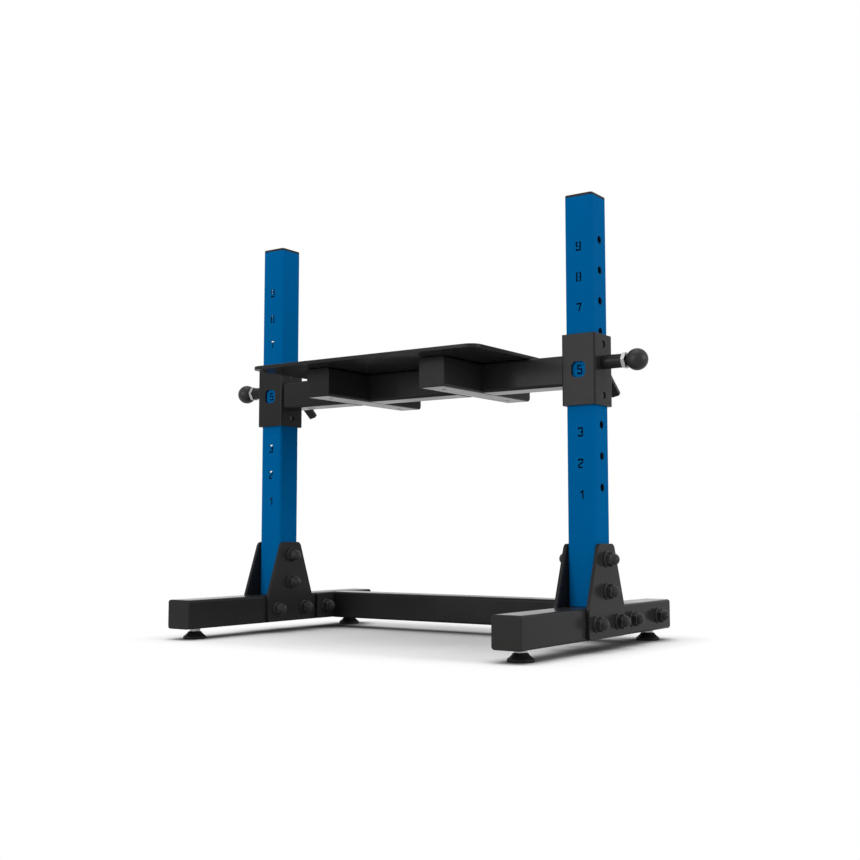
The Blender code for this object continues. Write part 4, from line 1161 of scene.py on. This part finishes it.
# %% Joists
JOIST_VENTS = 200 * MM
JOIST_RIM = 1.6 * MM
for side in SIDES:
    low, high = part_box("joist_" + side)
    joist = soft_block("joist_box_" + side, low, high, Y, TUBE_CORNER, JOIST_RIM)
    wall = Vector((TUBE_WALL, TUBE_WALL, TUBE_WALL))
    combine(joist, block("hollow", low + wall, high - wall))
    x = (low.x + high.x) / 2
    vents = [(x, end * JOIST_VENTS / 2, low.z) for end in ENDS.values()]
    drill(joist, VENT, DRILL_ONE_WALL, vents)
    hand_over(joist, "joist_" + side, "black_powder_coat")
print("joists closed")

# %% Platform plate
PLATE_CORNER = 20 * MM
PLATE_CORNER_STEPS = 12
PLATE_RIM = 1 * MM
low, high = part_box("platform_plate")
plate = soft_block("step_plate", low, high, Z, PLATE_CORNER, PLATE_RIM, PLATE_CORNER_STEPS)
hand_over(plate, "platform_plate", "black_powder_coat")
print("plate", [round(size, 4) for size in (high - low)])

# %% [markdown]
# ## Pull pins
# A pull pin is a round housing on the sleeve, closed by a zinc nut, with a sprung pin through it
# and a ball knob to pull. Each could be modelled where it sits, but they share one line, so they
# are all made on Z with the post's axis at zero, and then laid along X. Housing, pin and knob are
# turned, and the nut is a drilled hex like the jam nuts. The spring is a small circle wound round
# by a Screw modifier, and lies between the nut and the collar on the pin.

# %% Pull pin patterns
HOUSING = 22.5 * MM
HOUSING_WALL = 2.5 * MM
PIN = 12 * MM
STEM = 8 * MM
KNOB = 35 * MM
KNOB_NECK = 16 * MM
PIN_NUT = 24 * MM
HOUSING_RIM = 0.7 * MM
post_x = centre_of("upright_right").x


def span(cad_node):
    """Where a node on the right side starts and ends, measured outward from the post's axis."""
    low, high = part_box(cad_node + "_right")
    return low.x - post_x, high.x - post_x


start, end = span("pin_housing")
bore = HOUSING / 2 - HOUSING_WALL
housing_profile = [
    (bore, start),
    (HOUSING / 2 - HOUSING_RIM, start),
    (HOUSING / 2, start + HOUSING_RIM),
    (HOUSING / 2, end - HOUSING_RIM),
    (HOUSING / 2 - HOUSING_RIM, end),
    (bore, end),
    (bore, start),
]
patterns = {"pin_housing": (turned("housing", housing_profile, 64), "black_powder_coat")}
nut_start, nut_end = span("housing_nut")
nut = drilled_nut("nut", PIN_NUT, nut_end - nut_start, STEM + 2 * GAP)
pin_nut = copy_to(nut, "pin_nut", (0, 0, (nut_start + nut_end) / 2))
patterns["housing_nut"] = (pin_nut, "zinc_plate")
drop(nut)
print("housing from", round(start, 4), "to", round(end, 4))

# %% Pin and knob
COLLAR_START = 33.5 * MM     # from the post's axis, as every span is
COLLAR_END = 36.5 * MM
COLLAR_GAP = 0.5 * MM
NOSE = 1 * MM                # how far the pin's nose is rounded
STEM_RIM = 0.5 * MM
KNOB_RIM = 0.5 * MM
KNOB_STEPS = 22
start, end = span("pull_pin")
collar = bore - COLLAR_GAP
pin_profile = [
    (0, end),
    (STEM / 2 - STEM_RIM, end),
    (STEM / 2, end - STEM_RIM),
    (STEM / 2, COLLAR_END),
    (collar, COLLAR_END),
    (collar, COLLAR_START),
    (PIN / 2, COLLAR_START),
    (PIN / 2, start + NOSE),
    (PIN / 2 - 0.3 * NOSE, start + 0.3 * NOSE),
    (PIN / 2 - NOSE, start),
    (0, start),
]
patterns["pull_pin"] = (turned("pin", pin_profile), "bright_steel")

knob_start, knob_tip = span("ball_knob")
ball = (0, knob_tip - KNOB / 2)
neck_angle = -math.degrees(math.acos(KNOB_NECK / KNOB))
grip_end = end + GAP
knob_profile = arc(ball, KNOB / 2, 90, neck_angle, KNOB_STEPS)
knob_profile += [(KNOB_NECK / 2, knob_start + KNOB_RIM), (KNOB_NECK / 2 - KNOB_RIM, knob_start)]
knob_profile += [(STEM / 2 + GAP, knob_start), (STEM / 2 + GAP, grip_end), (0, grip_end)]
patterns["ball_knob"] = (turned("knob", knob_profile, 64), "knob_plastic")
print("pin from", round(start, 4), "to", round(end, 4), "knob to", round(knob_tip, 4))

# %% Spring
WIRE = 1.4 * MM
WIRE_SIDES = 10
COILS = 4
COIL_STEPS = 24
spring_low, spring_high = span("pin_spring")
bpy.ops.object.select_all(action="DESELECT")
coil_radius = (bore + STEM / 2) / 2
bpy.ops.mesh.primitive_circle_add(vertices=WIRE_SIDES, radius=WIRE / 2, rotation=ALONG_FRONT_Y)
spring = bpy.context.object
spring.name = "spring"
bpy.ops.object.transform_apply(location=False, rotation=True, scale=False)
into_edit(spring)
bpy.ops.mesh.select_all(action="SELECT")
bpy.ops.transform.translate(value=(coil_radius, 0, spring_low + WIRE / 2))
out_of_edit()
coil = spring.modifiers.new("coil", "SCREW")
coil.axis = "Z"
coil.iterations = COILS
coil.steps = coil.render_steps = COIL_STEPS
coil.screw_offset = (spring_high - spring_low - WIRE) / COILS
apply_modifier(spring, coil)
into_edit(spring)
bpy.ops.mesh.select_mode(type="EDGE")
bpy.ops.mesh.select_all(action="DESELECT")
bpy.ops.mesh.select_non_manifold()
bpy.ops.mesh.edge_face_add()
face_outward()
out_of_edit()
patterns["pin_spring"] = (spring, "spring_steel")
print("spring", len(spring.data.polygons), "faces")

# %% Placing the pull pins
for side, way in SIDES.items():
    spot = (way * post_x, 0, PIN_Z)
    for cad_name, (pattern, slot) in patterns.items():
        made = copy_to(pattern, "turned_" + cad_name + "_" + side, spot, OUTWARD[side])
        hand_over(made, cad_name + "_" + side, slot)
drop(*[pattern for pattern, _ in patterns.values()])
print("pull pins placed")

# %% [markdown]
# ## Clamp levers
# Behind each sleeve a lever turns a screw against the liner and takes the play out of the post.
# It could be sculpted in one piece, but the real moulding is two plain forms with a crease
# between them. So the hub is turned, and the arm is a block drawn in towards its tip, with round
# corners and soft rims, that leans out from the hub so that fingers fit behind it. A Boolean
# joins the two.

# %% Clamp levers
HUB = 22 * MM
HUB_LENGTH = 22 * MM
HUB_END = 6 * MM
HUB_ROUND = 2 * MM
HUB_ROUND_STEPS = 5
HUB_RIM = 0.5 * MM
CLAMP_SCREW = 10 * MM
SCREW_RIM = 0.8 * MM
DRILL_START = 2 * MM       # how far outside the hub its drill starts
ARM_OUT = 13.4 * MM
ARM_ROOT = 4 * MM
ARM_LENGTH = 53 * MM
ARM_ROOT_WIDTH = 19 * MM
ARM_TIP_WIDTH = 15 * MM
ARM_THICK = 8 * MM
ARM_CORNER = 2 * MM
ARM_CORNER_STEPS = 4
ARM_RIM = 1.0 * MM
ARM_LEAN = math.radians(39)
ARM_SWING = math.radians(-13)
hub_profile = [(0, HUB_LENGTH), (HUB / 2 - HUB_ROUND, HUB_LENGTH)]
round_centre = (HUB / 2 - HUB_ROUND, HUB_LENGTH - HUB_ROUND)
hub_profile += arc(round_centre, HUB_ROUND, 90, 0, HUB_ROUND_STEPS)
hub_profile += [(HUB / 2, HUB_RIM), (HUB / 2 - HUB_RIM, 0), (0, 0)]
lever = turned("lever", hub_profile, 56)
half_root = ARM_ROOT_WIDTH / 2
arm = block("arm", (-half_root, -ARM_ROOT, 0), (half_root, ARM_LENGTH, ARM_THICK))
into_edit(arm)
pick(arm, "VERT", lambda vert: vert.co.y > ARM_LENGTH - MM)
taper = (ARM_TIP_WIDTH / ARM_ROOT_WIDTH, 1, 1)
bpy.ops.transform.resize(value=taper, center_override=(0, ARM_LENGTH, 0))
out_of_edit()
round_off(arm, runs_along(Z), ARM_CORNER, ARM_CORNER_STEPS)
round_off(arm, end_rims(arm, Z), ARM_RIM, SOFT_STEPS)
arm.location = (0, 0, ARM_OUT)
arm.rotation_euler = (ARM_LEAN, 0, ARM_SWING)
combine(lever, arm, "UNION")
bore_depth = HUB_LENGTH - HUB_END
bore_place = (0, 0, (bore_depth - DRILL_START) / 2)
drill(lever, SCREW_HOLE, bore_depth + DRILL_START, [bore_place])
print("lever", len(lever.data.polygons), "faces")

# %% Placing the levers and screws
for side in SIDES:
    low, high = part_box("clamp_screw_" + side)
    spot = (low + high) / 2
    hub_foot = (spot.x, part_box("sleeve_" + side)[1].y + GAP, spot.z)
    made = copy_to(lever, "lever_moulding_" + side, hub_foot, ALONG_Y)
    hand_over(made, "clamp_lever_" + side, "black_fixings")
    screw = rods("clamp_stud_" + side, CLAMP_SCREW, high.y - low.y, [spot], ALONG_Y)
    round_off(screw, end_rims(screw, Y), SCREW_RIM, RIM_STEPS)
    hand_over(screw, "clamp_screw_" + side, "bright_steel")
drop(lever)
print("levers placed")

# %% [markdown]
# ## Floor, world and lamps
# The floor is a plain pale sheet that keeps the stand's shadow. Close under the rails and feet,
# an Ambient Occlusion node darkens it, as the narrow contact shadow of a soft light does. To
# light that bounces, the sheet is a mid grey, so that it doesn't lift the undersides too much.
# Away from the stand it turns into a plain white glow for the camera and in reflections, so that
# it meets the white world without a line. The world is white to these too, and dimmer as a light.
# A studio picture could light the scene instead, but three large lamps are easier to reason
# about: one high above, one far to the right and one in front.

# %% Floor
FLOOR_SIZE = 60
FOOTPRINT = (0.35, 0.25, 0)      # half the size of the ground that keeps all its shadow, in metres
FADE = 0.09                      # how far outside it the glow takes over
CONTACT_REACH = 0.045
CONTACT_SAMPLES = 16
CONTACT_SHADE = (0.03, 0.03, 0.03, 1)
BOUNCE_SHADE = (0.55, 0.55, 0.55, 1)
WHITE = (1, 1, 1, 1)


def seen_rays(tree):
    """One for rays that show the backdrop: from the camera, off a shiny surface, through glass."""
    ray = node(tree, "ShaderNodeLightPath").outputs
    seen = math_node(tree, "MAXIMUM", ray["Is Camera Ray"], ray["Is Glossy Ray"])
    return math_node(tree, "MAXIMUM", seen, ray["Is Transmission Ray"])


bpy.ops.object.select_all(action="DESELECT")
bpy.ops.mesh.primitive_plane_add(size=FLOOR_SIZE)
floor = bpy.context.object
floor.name = "floor"
paper = bpy.data.materials.new("pale_floor")
paper.use_nodes = True
tree = paper.node_tree
surface = tree.nodes["Principled BSDF"]
surface.inputs["Roughness"].default_value = 1.0
surface.inputs["Specular IOR Level"].default_value = 0.0
seen = seen_rays(tree)
near = {"Distance": CONTACT_REACH}
occlusion = node(tree, "ShaderNodeAmbientOcclusion", near, samples=CONTACT_SAMPLES)
openness = spread(tree, occlusion.outputs["AO"], 0.1, 0.9)
contact = blend_colour(tree, openness, CONTACT_SHADE, WHITE)
tree.links.new(blend_colour(tree, seen, BOUNCE_SHADE, contact), surface.inputs["Base Color"])
print("paper under the stand ready")

# %% Floor that fades to a white glow
place = node(tree, "ShaderNodeTexCoord").outputs["Object"]
outward = vector_node(tree, "ABSOLUTE", place)
past = vector_node(tree, "SUBTRACT", outward, FOOTPRINT)
past = vector_node(tree, "MAXIMUM", past, (0, 0, 0))
distance = vector_node(tree, "LENGTH", past, result="Value")
glow = node(tree, "ShaderNodeEmission", {"Color": WHITE, "Strength": 1.0}).outputs[0]
share = math_node(tree, "MULTIPLY", spread(tree, distance, 0, FADE), seen)
mixed = node(tree, "ShaderNodeMixShader", {0: share, 1: surface.outputs[0], 2: glow})
tree.links.new(mixed.outputs[0], tree.nodes["Material Output"].inputs["Surface"])
floor.data.materials.append(paper)
print("floor", floor.dimensions[:])

# %% World
WORLD_LIGHT = 0.46
world = bpy.data.worlds.new("white_studio")
bpy.context.scene.world = world
world.use_nodes = True
tree = world.node_tree
background = tree.nodes["Background"]
background.inputs["Color"].default_value = WHITE
tree.links.new(spread(tree, seen_rays(tree), 0, 1, WORLD_LIGHT, 1.0), background.inputs["Strength"])
print("world light", WORLD_LIGHT)

# %% Lamps
def area_lamp(name, place, target, size, power):
    """A square soft box at a place, facing a target."""
    lamp = bpy.data.lights.new(name, "AREA")
    lamp.shape = "SQUARE"
    lamp.size = size
    lamp.energy = power
    made = bpy.data.objects.new(name, lamp)
    bpy.context.scene.collection.objects.link(made)
    made.location = place
    made.rotation_euler = (Vector(target) - Vector(place)).to_track_quat("-Z", "Y").to_euler()
    return made


# Each lamp has a place, a target, a size in metres and a power in watts.
CENTRE = (0, 0, 0.35)
area_lamp("overhead", (0.0, -0.35, 3.2), CENTRE, 2.2, 38)
area_lamp("right", (13.6, 2.4, 3.6), CENTRE, 7.2, 1000)
area_lamp("front", (-1.8, -5.6, 1.7), CENTRE, 3.2, 175)
bpy.context.scene.view_settings.view_transform = "Standard"
print("lamps lit")
